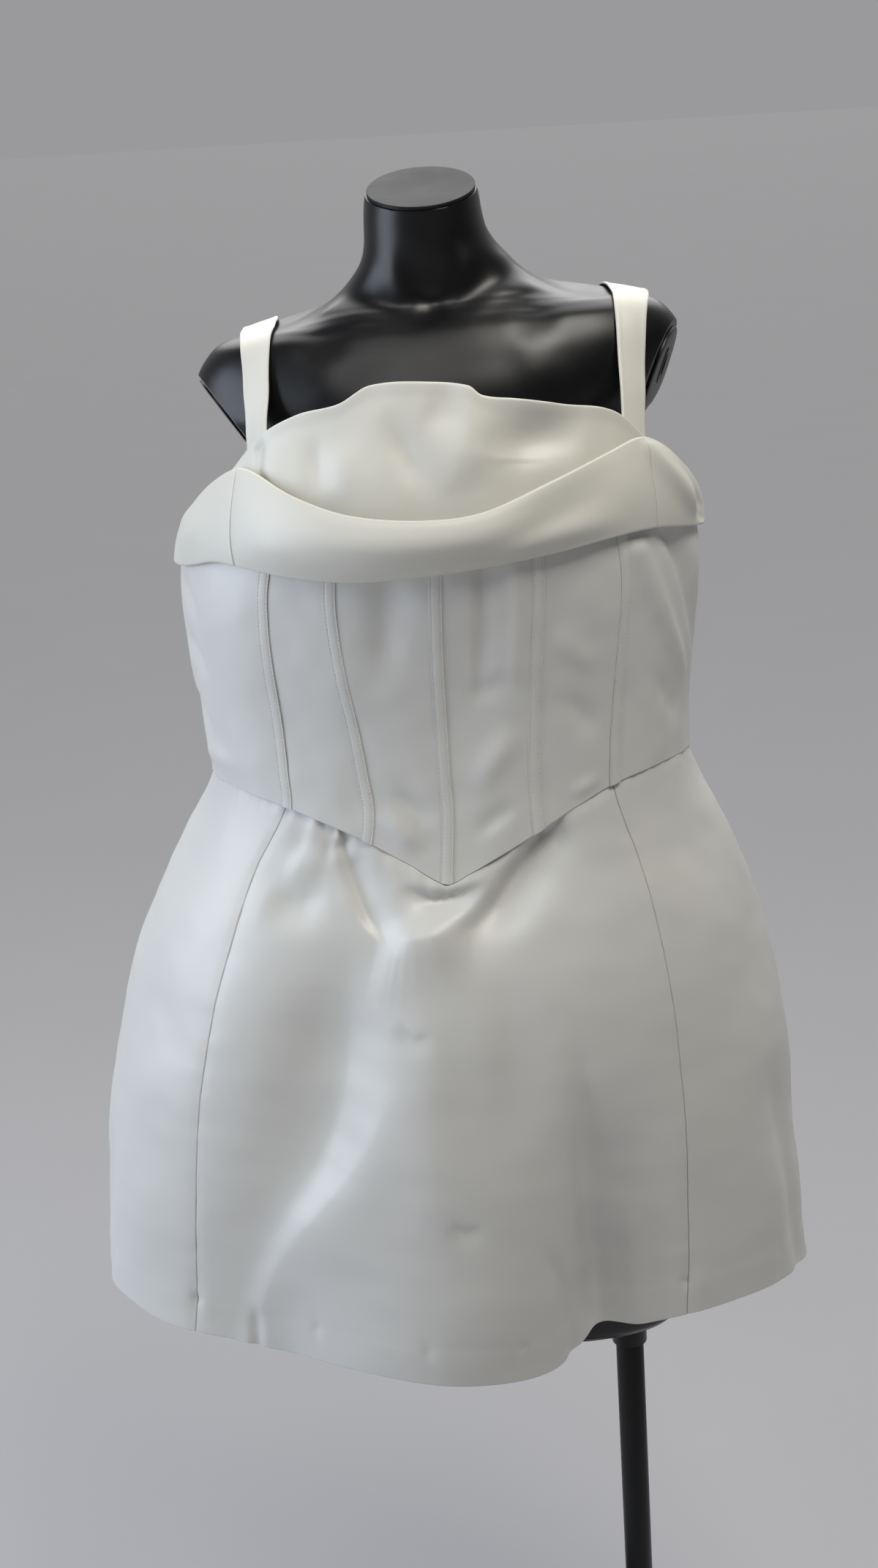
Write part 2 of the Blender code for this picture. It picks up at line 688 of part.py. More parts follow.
def strap_columns(strap, torso_tree):
    """The strap's two edges and middle, each a line of points from inside the bust panel, taut
    over the form's shoulder and down to inside the bodice's back."""
    side = strap.side
    inward = -(CLOTH_WALL + 3 * SEAM_GAP + STRAP_WALL / 2)
    turn = math.radians(STRAP_FRONT_TURN)
    across = Vector((side * math.cos(turn), math.sin(turn), 0.0))
    columns = []
    for k in (0.0, 0.5, 1.0):
        foot = [
            dress_point(side * strap.front_angle, height, inward) + across * STRAP_WIDTH * k
            for height in STRAP_FRONT_LEVELS
        ]
        spread = STRAP_WIDTH * (k - 0.5)
        at = STRAP_BACK_ANGLE - degrees_for(spread, STRAP_BACK_ANGLE, BODICE_TOP)
        tail = [dress_point(side * at, height, inward) for height in STRAP_BACK_LEVELS]
        top_x = strap.top_x + side * spread
        front, back = foot[-1], tail[0]

        def x_at(y, front=front, back=back, top_x=top_x):
            end = front if y < 0 else back
            return mix(top_x, end.x, smoothstep(0.0, 1.0, y / end.y))

        lifted = STRAP_LIFT + STRAP_WALL / 2
        profile = [(front.y, front.z), (back.y, back.z)]
        for n in range(81):
            y = mix(front.y, back.y, n / 80)
            hit = torso_tree.ray_cast(Vector((x_at(y), y, 1.6)), Vector((0, 0, -1)))
            if hit[0] is not None and hit[0].z > 1.33:
                flat = Vector((0.0, hit[1].y, hit[1].z))
                rise = flat * lifted / flat.length_squared
                profile.append((y + rise.y, hit[0].z + rise.z))
        line = [Vector((x_at(y), y, z)) for y, z in upper_hull(profile)]
        columns.append(foot[:-1] + spaced(line, 25) + tail[1:])
    return columns


def straps(satin, torso):
    """Two shoulder straps of doubled satin."""
    graph = bpy.context.evaluated_depsgraph_get()
    tree = BVHTree.FromObject(torso, graph)
    for strap in STRAPS:
        columns = strap_columns(strap, tree)
        rows = [list(row) for row in zip(*columns)]
        if strap.side < 0:
            rows = [row[::-1] for row in rows]
        normals = []
        for j, row in enumerate(rows):
            ahead, behind = rows[min(j + 1, len(rows) - 1)], rows[max(j - 1, 0)]
            line = []
            for i in range(3):
                up = ahead[i] - behind[i]
                width = row[2] - row[0]
                line.append(width.cross(up).normalized())
            normals.append(line)
        half = STRAP_WALL / 2
        outer = [[p + n * half for p, n in zip(*pair)] for pair in zip(rows, normals)]
        inner = [[p - n * half for p, n in zip(*pair)] for pair in zip(rows, normals)]
        wall(f"strap_{strap.mark}", outer, inner, satin)


ZIP_SLIDER_TOP = 1.2530
ZIP_SLIDER_HEIGHT = 0.0075
ZIP_SLIDER_HALF_WIDTH = 0.0043
ZIP_SLIDER_DEPTH = 0.0025
ZIP_EAR_WALL = 0.00125
ZIP_PULL_HALF_WIDTH = 0.00275
ZIP_PULL_RADIUS = 0.0009
ZIP_PULL_LENGTH = 0.019
ZIP_HINGE_HEIGHT = 1.2495


def band_back_face(low, high):
    """The band's furthest reach backwards at the centre back, between two heights."""
    outside = band_section(CENTRE_BACK - 0.5)[: BAND_LEVELS + 2]
    reach = []
    for a, b in zip(outside, outside[1:]):
        for k in range(11):
            point = a.lerp(b, k / 10)
            if low <= point.z <= high:
                reach.append(point.y)
    return max(reach)


def zip_pieces(metal):
    """The concealed zip's slider at the top of the centre-back seam, and its pull, which hangs
    between the slider's ears from a hinge along X."""
    middle = along(DRESS_SECTIONS, "centre_x", ZIP_HINGE_HEIGHT)
    foot = ZIP_SLIDER_TOP - ZIP_SLIDER_HEIGHT
    back = band_back_face(foot, ZIP_SLIDER_TOP) + SEAM_GAP
    reach = back + ZIP_SLIDER_DEPTH + SEAM_GAP + 2 * ZIP_PULL_RADIUS
    wide, slot = ZIP_SLIDER_HALF_WIDTH, ZIP_SLIDER_HALF_WIDTH - ZIP_EAR_WALL
    outline = (
        (-wide, back),
        (wide, back),
        (wide, reach),
        (slot, reach),
        (slot, back + ZIP_SLIDER_DEPTH),
        (-slot, back + ZIP_SLIDER_DEPTH),
        (-slot, reach),
        (-wide, reach),
    )
    extruded(
        "zip_slider",
        [Vector((middle + x, y, foot)) for x, y in outline],
        Vector((0, 0, ZIP_SLIDER_HEIGHT)),
        metal,
    )
    axis_y = back + ZIP_SLIDER_DEPTH + SEAM_GAP + ZIP_PULL_RADIUS
    steps = 6
    rounded = [
        (
            axis_y + ZIP_PULL_RADIUS * math.cos(math.pi * k / steps),
            ZIP_HINGE_HEIGHT + ZIP_PULL_RADIUS * math.sin(math.pi * k / steps),
        )
        for k in range(steps + 1)
    ]
    end = ZIP_HINGE_HEIGHT - ZIP_PULL_LENGTH
    profile = [*rounded, (axis_y - ZIP_PULL_RADIUS, end), (axis_y + ZIP_PULL_RADIUS, end)]
    hinge = Vector((middle, axis_y, ZIP_HINGE_HEIGHT))
    near_side = middle - ZIP_PULL_HALF_WIDTH
    pull = extruded(
        "zip_pull",
        [Vector((near_side, y, z)) - hinge for y, z in profile],
        Vector((2 * ZIP_PULL_HALF_WIDTH, 0, 0)),
        metal,
    )
    pull.location = hinge


def extruded(name, outline, way, finish):
    """A flat outline drawn out along a straight way."""
    shape = bmesh.new()
    face = shape.faces.new([shape.verts.new(p) for p in outline])
    moved = bmesh.ops.extrude_face_region(shape, geom=[face])["geom"]
    ends = [v for v in moved if isinstance(v, bmesh.types.BMVert)]
    bmesh.ops.translate(shape, verts=ends, vec=way)
    bmesh.ops.recalc_face_normals(shape, faces=shape.faces[:])
    mesh = bpy.data.meshes.new(name)
    shape.to_mesh(mesh)
    shape.free()
    return add_object(name, mesh, finish)


def turned(name, profile, x, sides, finish):
    """A solid turned about a vertical axis at x. The profile is (radius, height) from its foot."""
    shape = bmesh.new()
    edges = []
    last = None
    for radius, height in profile:
        point = shape.verts.new((radius, 0.0, height))
        if last is not None:
            edges.append(shape.edges.new((last, point)))
        last = point
    bmesh.ops.spin(
        shape,
        geom=edges + shape.verts[:],
        cent=(0, 0, 0),
        axis=(0, 0, 1),
        angle=2 * math.pi,
        steps=sides,
        use_merge=True,
    )
    bmesh.ops.remove_doubles(shape, verts=shape.verts[:], dist=1e-6)
    bmesh.ops.holes_fill(shape, edges=[e for e in shape.edges if e.is_boundary])
    bmesh.ops.recalc_face_normals(shape, faces=shape.faces[:])
    bmesh.ops.transform(shape, matrix=Matrix.Translation((x, 0, 0)), verts=shape.verts[:])
    mesh = bpy.data.meshes.new(name)
    shape.to_mesh(mesh)
    shape.free()
    mesh.shade_smooth()
    mesh.set_sharp_from_angle(angle=math.radians(40))
    return add_object(name, mesh, finish)


def stand(steel):
    """The round base, the socket on it, the pole off centre under one hip, and its collar."""
    edge = 0.0012
    disc = [
        (BASE_RADIUS - edge, 0.0),
        (BASE_RADIUS, edge),
        (BASE_RADIUS, BASE_WALL - edge),
        (BASE_RADIUS - edge, BASE_WALL),
    ]
    turned("stand_base", disc, 0.0, 48, steel)
    foot = BASE_WALL + SEAM_GAP
    socket = [
        (0.030, foot),
        (0.030, foot + 0.004),
        (0.019, foot + 0.010),
        (0.017, SOCKET_TOP - 0.001),
        (0.016, SOCKET_TOP),
    ]
    turned("stand_socket", socket, POLE_X, 24, steel)
    pole = [
        (POLE_RADIUS, SOCKET_TOP + SEAM_GAP),
        (POLE_RADIUS, COLLAR_FOOT - SEAM_GAP),
    ]
    turned("stand_pole", pole, POLE_X, 24, steel)
    collar = [
        (COLLAR_RADIUS - 0.001, COLLAR_FOOT),
        (COLLAR_RADIUS, COLLAR_FOOT + 0.001),
        (COLLAR_RADIUS, FORM_BASE - SEAM_GAP),
    ]
    turned("stand_collar", collar, POLE_X, 24, steel)


def main():
    remove_what_is_there()
    satin = material("ivory_satin", (0.80, 0.79, 0.74), 0.42)
    black = material("black_form", (0.012, 0.012, 0.013), 0.32)
    steel = material("dark_steel", (0.10, 0.10, 0.105), 0.30, 0.9)
    metal = material("zip_metal", (0.75, 0.74, 0.70), 0.35, 1.0)
    skirt(satin)
    bodice(satin)
    bone_channels(satin)
    cowl(satin)
    folded_band(satin)
    torso = dress_form(black)
    straps(satin, torso)
    zip_pieces(metal)
    stand(steel)


main()
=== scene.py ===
"""A corset mini dress in ivory satin on a black dress form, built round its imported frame.

Metres, +Z up. The front faces -Y, and +X is the viewer's right. Angles are degrees round the
dress: 0 is the centre front, and they grow towards +X. Each cloth piece is a thin wall that
lies on the same surface as its solid, with the finer creases, seams and hems added.
"""

import math
from collections import namedtuple

import bmesh
import bpy
import numpy as np
from bpy.props import FloatProperty, FloatVectorProperty
from mathutils import Matrix, Vector
from mathutils.bvhtree import BVHTree


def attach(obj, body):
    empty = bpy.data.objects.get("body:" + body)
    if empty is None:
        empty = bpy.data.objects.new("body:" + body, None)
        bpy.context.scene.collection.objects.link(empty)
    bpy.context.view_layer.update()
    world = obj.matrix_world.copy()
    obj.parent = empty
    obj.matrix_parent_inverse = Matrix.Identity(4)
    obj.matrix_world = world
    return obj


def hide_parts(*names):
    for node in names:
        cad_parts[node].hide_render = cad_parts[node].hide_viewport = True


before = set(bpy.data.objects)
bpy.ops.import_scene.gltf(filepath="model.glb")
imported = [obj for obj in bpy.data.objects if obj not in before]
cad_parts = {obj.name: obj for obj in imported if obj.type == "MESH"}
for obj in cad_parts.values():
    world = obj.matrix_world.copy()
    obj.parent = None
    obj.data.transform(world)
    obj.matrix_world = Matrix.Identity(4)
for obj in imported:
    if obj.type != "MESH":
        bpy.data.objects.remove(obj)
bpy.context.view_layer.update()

bl_info = {
    "name": "Corset mini dress on a dress form",
    "version": (1, 0, 0),
    "blender": (4, 5, 0),
    "location": "View3D > Sidebar > Dress",
    "description": "Builds the dress, its form, its stand and the studio round the frame",
    "category": "Object",
}

BODY = "dress_and_form"
PULL_BODY = "zip_pull"

SEAM_GAP = 0.0003
BODICE_TOP = 1.243
CENTRE_BACK = 180.0
SIDE_SEAM = 91.0
COWL_END = 59.0

# The stand's pole, collar, base plate and socket.
POLE_X = 0.128
POLE_RADIUS = 0.0127
POLE_FOOT = 0.0403
COLLAR_FOOT = 0.455
COLLAR_RADIUS = 0.0159
BASE_RADIUS = 0.200
BASE_WALL = 0.006
SOCKET_RADIUS = 0.030
SOCKET_BASE_TOP = 0.0105

# A height in the bodice and one in the hem, and radii that turn an angle into metres of cloth.
MID_BODICE = 1.1
HEM_LEVEL = 0.58
DRESS_RADIUS = 0.24
BAND_RADIUS = 0.21

# Walls: of the solids, and of the cloth that is made here.
SOLID_CLOTH_WALL = 0.0018
SOLID_STRAP_HALF = 0.0008
CHANNEL_THICKNESS = 0.0006
STRAP_HALF = 0.0009
BAND_HALF = 0.0018

# The bodice's broad waves, and how much of its relief shows in the channels sewn on it.
BODICE_WAVE = 0.0012
BODICE_SEED = 31
BODICE_LINING_SHARE = 0.8

# The dress form's highest ring, and where its shoulders and arm cuts are looked for.
TOP_RING = 22.0
SHOULDER_LOW = 1.33
ARM_CUT_LOW = 1.290
ARM_CUT_IN = 0.09

# The camera's turn to the right, its tilt down and its roll, in degrees, and its place.
CAMERA_ANGLES = (4.0, 18.0, 3.65)
CAMERA_PLACE = (0.12192, -1.96729, 1.643)

# The focal length in pixels of a picture this high, and the sensor's size in millimetres.
SENSOR_WIDTH = 36.0
FOCAL_PIXELS = 3300.0
PICTURE_HEIGHT = 2143.0

SURROUND_COLOUR = (0.97, 0.965, 1.0, 1.0)
LIGHT_AIM = (0.0, 0.0, 0.97)
AreaLight = namedtuple("AreaLight", "name place width height setting share colour")
AREA_LIGHTS = (
    AreaLight("window", (-2.33, -0.62, 1.65), 1.6, 2.0, "window_power", 1.0,
              (0.77, 0.86, 1.0)),
    AreaLight("ceiling", (0.80, -0.96, 3.15), 1.1, 0.8, "ceiling_power", 0.8,
              (1.0, 0.97, 0.90)),
    AreaLight("ceiling_left", (-0.55, -1.35, 3.0), 0.9, 0.7, "ceiling_power", 0.2,
              (1.0, 0.98, 0.95)),
)

Section = namedtuple("Section", "height half_width front back centre_x square")
DRESS_SECTIONS = (
    Section(0.530, 0.3190, 0.214, 0.204, -0.0275, 0.014),
    Section(0.580, 0.3150, 0.214, 0.203, -0.027, 0.015),
    Section(0.630, 0.3110, 0.214, 0.201, -0.0255, 0.017),
    Section(0.680, 0.3065, 0.213, 0.199, -0.0245, 0.020),
    Section(0.730, 0.3020, 0.211, 0.196, -0.023, 0.020),
    Section(0.780, 0.2950, 0.208, 0.192, -0.020, 0.020),
    Section(0.830, 0.2845, 0.202, 0.186, -0.0165, 0.020),
    Section(0.880, 0.2705, 0.192, 0.175, -0.0145, 0.025),
    Section(0.930, 0.2510, 0.174, 0.157, -0.011, 0.030),
    Section(0.975, 0.2300, 0.154, 0.138, -0.0075, 0.035),
    Section(1.024, 0.2060, 0.147, 0.121, -0.004, 0.040),
    Section(1.060, 0.2055, 0.147, 0.118, -0.005, 0.040),
    Section(1.100, 0.2080, 0.150, 0.120, -0.005, 0.040),
    Section(1.150, 0.2130, 0.160, 0.125, -0.005, 0.035),
    Section(1.205, 0.2155, 0.171, 0.129, -0.003, 0.030),
    Section(1.245, 0.2075, 0.176, 0.129, 0.000, 0.028),
    Section(1.290, 0.1960, 0.168, 0.126, 0.005, 0.025),
    Section(1.330, 0.1870, 0.154, 0.122, 0.009, 0.020),
    Section(1.380, 0.1760, 0.136, 0.118, 0.011, 0.015),
)

Fold = namedtuple("Fold", "angle spread depth top bottom")
SKIRT_FOLDS = (
    Fold(2.0, 15.0, 0.022, 0.93, 0.58),
    Fold(27.0, 8.5, -0.040, 0.84, 0.56),
    Fold(-28.0, 11.0, -0.018, 0.90, 0.57),
    Fold(58.0, 14.0, 0.010, 0.90, 0.57),
    Fold(-62.0, 15.0, 0.009, 0.92, 0.58),
    Fold(112.0, 12.0, -0.012, 0.88, 0.57),
    Fold(-116.0, 13.0, -0.014, 0.90, 0.57),
    Fold(152.0, 12.0, -0.020, 0.88, 0.57),
    Fold(-150.0, 12.0, -0.022, 0.88, 0.57),
    Fold(176.0, 15.0, 0.014, 0.93, 0.58),
)

Edge = namedtuple("Edge", "angle height")
WAIST_SEAM = (
    Edge(-180.0, 1.030),
    Edge(-90.0, 1.029),
    Edge(-65.0, 1.035),
    Edge(-52.0, 1.0345),
    Edge(-37.0, 1.0270),
    Edge(-26.0, 1.0160),
    Edge(-16.4, 1.0025),
    Edge(-7.0, 0.9845),
    Edge(1.0, 0.9680),
    Edge(6.0, 0.9755),
    Edge(11.0, 0.9855),
    Edge(20.7, 1.0040),
    Edge(30.0, 1.0200),
    Edge(40.6, 1.0330),
    Edge(55.0, 1.0393),
    Edge(72.0, 1.0370),
    Edge(90.0, 1.0310),
    Edge(180.0, 1.030),
)
HEM = (
    Edge(-180.0, 0.556),
    Edge(-135.0, 0.562),
    Edge(-105.0, 0.560),
    Edge(-90.0, 0.567),
    Edge(-75.0, 0.577),
    Edge(-60.0, 0.580),
    Edge(-49.0, 0.572),
    Edge(-38.0, 0.567),
    Edge(-26.0, 0.560),
    Edge(-11.0, 0.562),
    Edge(3.0, 0.556),
    Edge(13.0, 0.5515),
    Edge(19.0, 0.5515),
    Edge(26.5, 0.563),
    Edge(32.0, 0.567),
    Edge(39.0, 0.576),
    Edge(50.0, 0.5785),
    Edge(62.0, 0.574),
    Edge(71.0, 0.565),
    Edge(90.0, 0.547),
    Edge(110.0, 0.548),
    Edge(135.0, 0.556),
    Edge(180.0, 0.556),
)
COWL_TOP = (
    Edge(-60.0, 1.285),
    Edge(-49.0, 1.3226),
    Edge(-36.2, 1.3447),
    Edge(-24.3, 1.3538),
    Edge(-16.2, 1.3672),
    Edge(0.0, 1.3676),
    Edge(8.0, 1.3630),
    Edge(11.0, 1.3555),
    Edge(18.5, 1.3510),
    Edge(29.3, 1.3447),
    Edge(45.0, 1.3345),
    Edge(54.7, 1.3110),
    Edge(60.0, 1.290),
)

Line = namedtuple("Line", "height left right")
PRINCESS_SEAMS = (
    Line(0.500, -42.8, 39.5),
    Line(0.580, -42.6, 39.9),
    Line(0.620, -42.4, 40.6),
    Line(0.720, -41.9, 41.4),
    Line(0.830, -42.1, 41.8),
    Line(0.920, -40.8, 42.0),
    Line(0.985, -40.2, 41.3),
    Line(1.035, -37.0, 40.6),
)

Band = namedtuple("Band", "angle low high low_out high_out belly")
FOLDED_BAND = (
    Band(-180.0, 1.214, 1.254, 0.0045, 0.0042, 0.0010),
    Band(-120.0, 1.212, 1.248, 0.0045, 0.0042, 0.0012),
    Band(-90.0, 1.211, 1.243, 0.0045, 0.0042, 0.0015),
    Band(-73.0, 1.216, 1.262, 0.0046, 0.0042, 0.0020),
    Band(-61.0, 1.223, 1.287, 0.0048, 0.0042, 0.0030),
    Band(-51.0, 1.231, 1.302, 0.0056, 0.0042, 0.0035),
    Band(-43.5, 1.2314, 1.3010, 0.0065, 0.0060, 0.0045),
    Band(-29.0, 1.2275, 1.2844, 0.0080, 0.0130, 0.0060),
    Band(-16.0, 1.2250, 1.2728, 0.0085, 0.0175, 0.0065),
    Band(0.0, 1.2285, 1.2688, 0.0085, 0.0180, 0.0060),
    Band(11.0, 1.2320, 1.2722, 0.0080, 0.0170, 0.0060),
    Band(26.0, 1.2374, 1.2900, 0.0075, 0.0125, 0.0055),
    Band(41.0, 1.2420, 1.3045, 0.0065, 0.0060, 0.0045),
    Band(52.0, 1.2410, 1.3105, 0.0056, 0.0042, 0.0035),
    Band(61.0, 1.2360, 1.3000, 0.0048, 0.0042, 0.0035),
    Band(73.0, 1.228, 1.276, 0.0046, 0.0042, 0.0025),
    Band(90.0, 1.219, 1.249, 0.0045, 0.0042, 0.0015),
    Band(120.0, 1.215, 1.250, 0.0045, 0.0042, 0.0012),
    Band(180.0, 1.214, 1.254, 0.0045, 0.0042, 0.0010),
)
BAND_CORNERS = (-50.4, 53.0)
CORNER_SLANT = 6.9
CORNER_REACH = 14.0

Bone = namedtuple("Bone", "name angle_at_band angle_at_waist")
BONES = (
    Bone("back_inner_L", -157.0, -159.0),
    Bone("back_outer_L", -138.0, -140.0),
    Bone("front_outer_L", -36.6, -37.0),
    Bone("front_inner_L", -20.9, -16.4),
    Bone("centre_front", 1.5, 1.0),
    Bone("front_inner_R", 22.9, 20.7),
    Bone("front_outer_R", 43.4, 40.6),
    Bone("back_outer_R", 138.0, 140.0),
    Bone("back_inner_R", 157.0, 159.0),
)

FormRing = namedtuple("FormRing", "level side_z front_z back_z half_width front back square")
FORM_RINGS = (
    FormRing(0, 0.507, 0.507, 0.507, 0.170, 0.090, 0.094, 0.16),
    FormRing(1, 0.519, 0.519, 0.519, 0.177, 0.098, 0.102, 0.15),
    FormRing(2, 0.560, 0.560, 0.560, 0.181, 0.103, 0.110, 0.12),
    FormRing(3, 0.680, 0.680, 0.680, 0.185, 0.104, 0.122, 0.07),
    FormRing(4, 0.800, 0.800, 0.800, 0.184, 0.102, 0.130, 0.04),
    FormRing(5, 0.880, 0.880, 0.880, 0.174, 0.100, 0.122, 0.03),
    FormRing(6, 0.960, 0.960, 0.960, 0.152, 0.098, 0.100, 0.03),
    FormRing(7, 1.030, 1.030, 1.030, 0.134, 0.096, 0.086, 0.03),
    FormRing(8, 1.090, 1.090, 1.090, 0.134, 0.096, 0.086, 0.03),
    FormRing(9, 1.150, 1.150, 1.150, 0.140, 0.099, 0.092, 0.03),
    FormRing(10, 1.208, 1.210, 1.208, 0.146, 0.105, 0.098, 0.03),
    FormRing(11, 1.255, 1.262, 1.258, 0.147, 0.109, 0.102, 0.02),
    FormRing(12, 1.294, 1.308, 1.300, 0.147, 0.107, 0.104, 0.01),
    FormRing(13, 1.324, 1.346, 1.340, 0.188, 0.099, 0.103, 0.0),
    FormRing(14, 1.364, 1.374, 1.376, 0.198, 0.084, 0.099, 0.0),
    FormRing(15, 1.391, 1.394, 1.402, 0.182, 0.071, 0.092, 0.0),
    FormRing(16, 1.400, 1.404, 1.414, 0.158, 0.061, 0.084, 0.0),
    FormRing(17, 1.403, 1.411, 1.422, 0.132, 0.054, 0.077, 0.0),
    FormRing(18, 1.408, 1.417, 1.431, 0.107, 0.050, 0.070, 0.0),
    FormRing(19, 1.420, 1.426, 1.443, 0.084, 0.048, 0.063, 0.0),
    FormRing(20, 1.437, 1.440, 1.460, 0.065, 0.048, 0.057, 0.0),
    FormRing(21, 1.4595, 1.459, 1.478, 0.051, 0.049, 0.053, 0.0),
    FormRing(22, 1.4985, 1.4865, 1.5105, 0.0435, 0.049, 0.050, 0.0),
)
FORM_BASE = 0.507
NECK_TOP = 1.4985
NECK_TILT = 0.242
SHOULDER_TILT = 0.052
SHOULDER_SHIFT = 0.005

ArmCut = namedtuple("ArmCut", "side mark top_x top_z foot_x foot_z")
ARM_CUTS = (
    ArmCut(1, "R", 0.199, 1.381, 0.170, 1.3035),
    ArmCut(-1, "L", -0.189, 1.355, -0.155, 1.302),
)
ARM_TURN = 14.0
ARM_DRAW_IN = 0.003

Strap = namedtuple("Strap", "side mark top_x front_angle")
STRAPS = (Strap(1, "R", 0.1630, 48.5), Strap(-1, "L", -0.1380, 43.5))
STRAP_FRONT_TURN = 56.0
STRAP_BACK_ANGLE = 137.0
STRAP_FRONT_LEVELS = (1.272, 1.290, 1.308)
STRAP_BACK_LEVELS = (1.232, 1.220, 1.208)
STRAP_LIFT = 0.0025
STRAP_WIDTH = 0.030

# A crease is a line of (angle, height). Its depth is out from the cloth, so a trough's is
# negative. Left and right are its half widths on each hand as one walks along it, seen from
# outside, and open names the ends that run on at full depth, as at a seam.
Crease = namedtuple("Crease", "line depth left right open")
SKIRT_CREASES = (
    # The pull under the point of the waist, with the bulge it holds up.
    Crease(((22.0, 1.000), (16.0, 0.976), (11.6, 0.956), (7.4, 0.939), (1.8, 0.921)),
           -0.0135, 0.021, 0.0080, "start"),
    Crease(((-9.7, 0.963), (-5.5, 0.963), (-1.1, 0.958), (3.9, 0.960), (10.5, 0.968)),
           -0.0085, 0.0040, 0.0105, ""),
    Crease(((-21.5, 1.000), (-18.2, 0.976), (-14.3, 0.949), (-10.3, 0.933), (-5.5, 0.917)),
           -0.0072, 0.0150, 0.0055, "start"),
    Crease(((-12.0, 0.930), (-4.0, 0.926), (6.0, 0.936)), 0.0110, 0.015, 0.032, ""),
    # Gathers left of the point.
    Crease(((-26.6, 1.018), (-25.2, 1.004), (-23.0, 0.984)), -0.0026, 0.0090, 0.0060, "start"),
    Crease(((-32.6, 1.023), (-32.0, 1.002), (-30.5, 0.984)), -0.0014, 0.0080, 0.0090, "start"),
    Crease(((-20.5, 1.008), (-18.4, 0.982)), 0.0016, 0.009, 0.008, "start"),
    Crease(((-36.5, 0.956), (-29.0, 0.952), (-21.5, 0.961)), -0.0042, 0.012, 0.018, ""),
    Crease(((-34.0, 0.982), (-24.0, 0.981)), 0.0020, 0.011, 0.011, ""),
    # The wide hollow left of the middle and the soft ridge beside it.
    Crease(((-19.0, 0.958), (-17.5, 0.890), (-18.0, 0.820), (-20.5, 0.745), (-25.0, 0.670)),
           -0.0212, 0.038, 0.052, ""),
    Crease(((-4.0, 0.925), (-2.5, 0.865), (-1.0, 0.777), (-1.0, 0.659)), 0.0045, 0.024, 0.028, ""),
    Crease(((12.0, 0.930), (12.5, 0.840), (13.0, 0.740)), -0.0036, 0.026, 0.020, ""),
    # Small puckers in the middle of the front.
    Crease(((-7.0, 0.867), (-3.8, 0.852), (-0.5, 0.859)), -0.0023, 0.0040, 0.011, ""),
    Crease(((1.5, 0.703), (4.5, 0.693), (7.0, 0.700)), -0.0021, 0.0050, 0.011, ""),
    # The long ridge from the middle down to the left of the hem, and its trough.
    Crease(((-4.4, 0.830), (-11.0, 0.757), (-18.5, 0.700), (-27.4, 0.634), (-32.0, 0.562)),
           0.0046, 0.034, 0.015, "end"),
    Crease(((-14.2, 0.835), (-19.7, 0.760), (-26.8, 0.691), (-34.1, 0.625)),
           -0.0034, 0.018, 0.026, ""),
    # Pulls at the hem.
    Crease(((-31.6, 0.558), (-31.5, 0.604)), -0.0036, 0.006, 0.006, "start"),
    Crease(((20.8, 0.552), (19.0, 0.623), (14.9, 0.680)), -0.0034, 0.008, 0.008, "start"),
    Crease(((26.9, 0.562), (26.0, 0.617), (24.5, 0.694), (23.8, 0.793), (23.4, 0.870)),
           -0.0060, 0.012, 0.012, "start"),
    Crease(((33.0, 0.560), (32.0, 0.640), (31.0, 0.720)), 0.0030, 0.012, 0.012, "start"),
    # Sides and back.
    Crease(((74.0, 0.570), (70.0, 0.680), (66.0, 0.790)), -0.0050, 0.020, 0.020, "start"),
    Crease(((-76.0, 0.575), (-72.0, 0.680), (-70.0, 0.770)), -0.0040, 0.020, 0.020, "start"),
    Crease(((97.0, 1.026), (104.0, 0.980), (108.0, 0.930)), -0.0040, 0.007, 0.016, "start"),
    Crease(((-98.0, 1.025), (-106.0, 0.975), (-112.0, 0.925)), -0.0040, 0.016, 0.007, "start"),
    Crease(((132.0, 1.026), (129.0, 0.985), (122.0, 0.935)), -0.0034, 0.014, 0.008, "start"),
    Crease(((-133.0, 1.026), (-129.0, 0.985), (-124.0, 0.940)), -0.0034, 0.008, 0.014, "start"),
    Crease(((172.0, 1.026), (168.0, 0.970), (160.0, 0.905)), -0.0034, 0.008, 0.016, "start"),
    Crease(((-172.0, 1.026), (-167.0, 0.960), (-158.0, 0.900)), -0.0034, 0.016, 0.008, "start"),
    Crease(((141.0, 0.560), (143.0, 0.680), (147.0, 0.800)), 0.0050, 0.018, 0.012, "start"),
    Crease(((-139.0, 0.565), (-142.0, 0.680), (-147.0, 0.790)), 0.0050, 0.012, 0.018, "start"),
    Crease(((-170.0, 0.560), (-168.0, 0.640), (-163.0, 0.720)), -0.0040, 0.010, 0.010, "start"),
    Crease(((163.0, 0.558), (165.0, 0.650), (170.0, 0.740)), -0.0040, 0.010, 0.010, "start"),
)
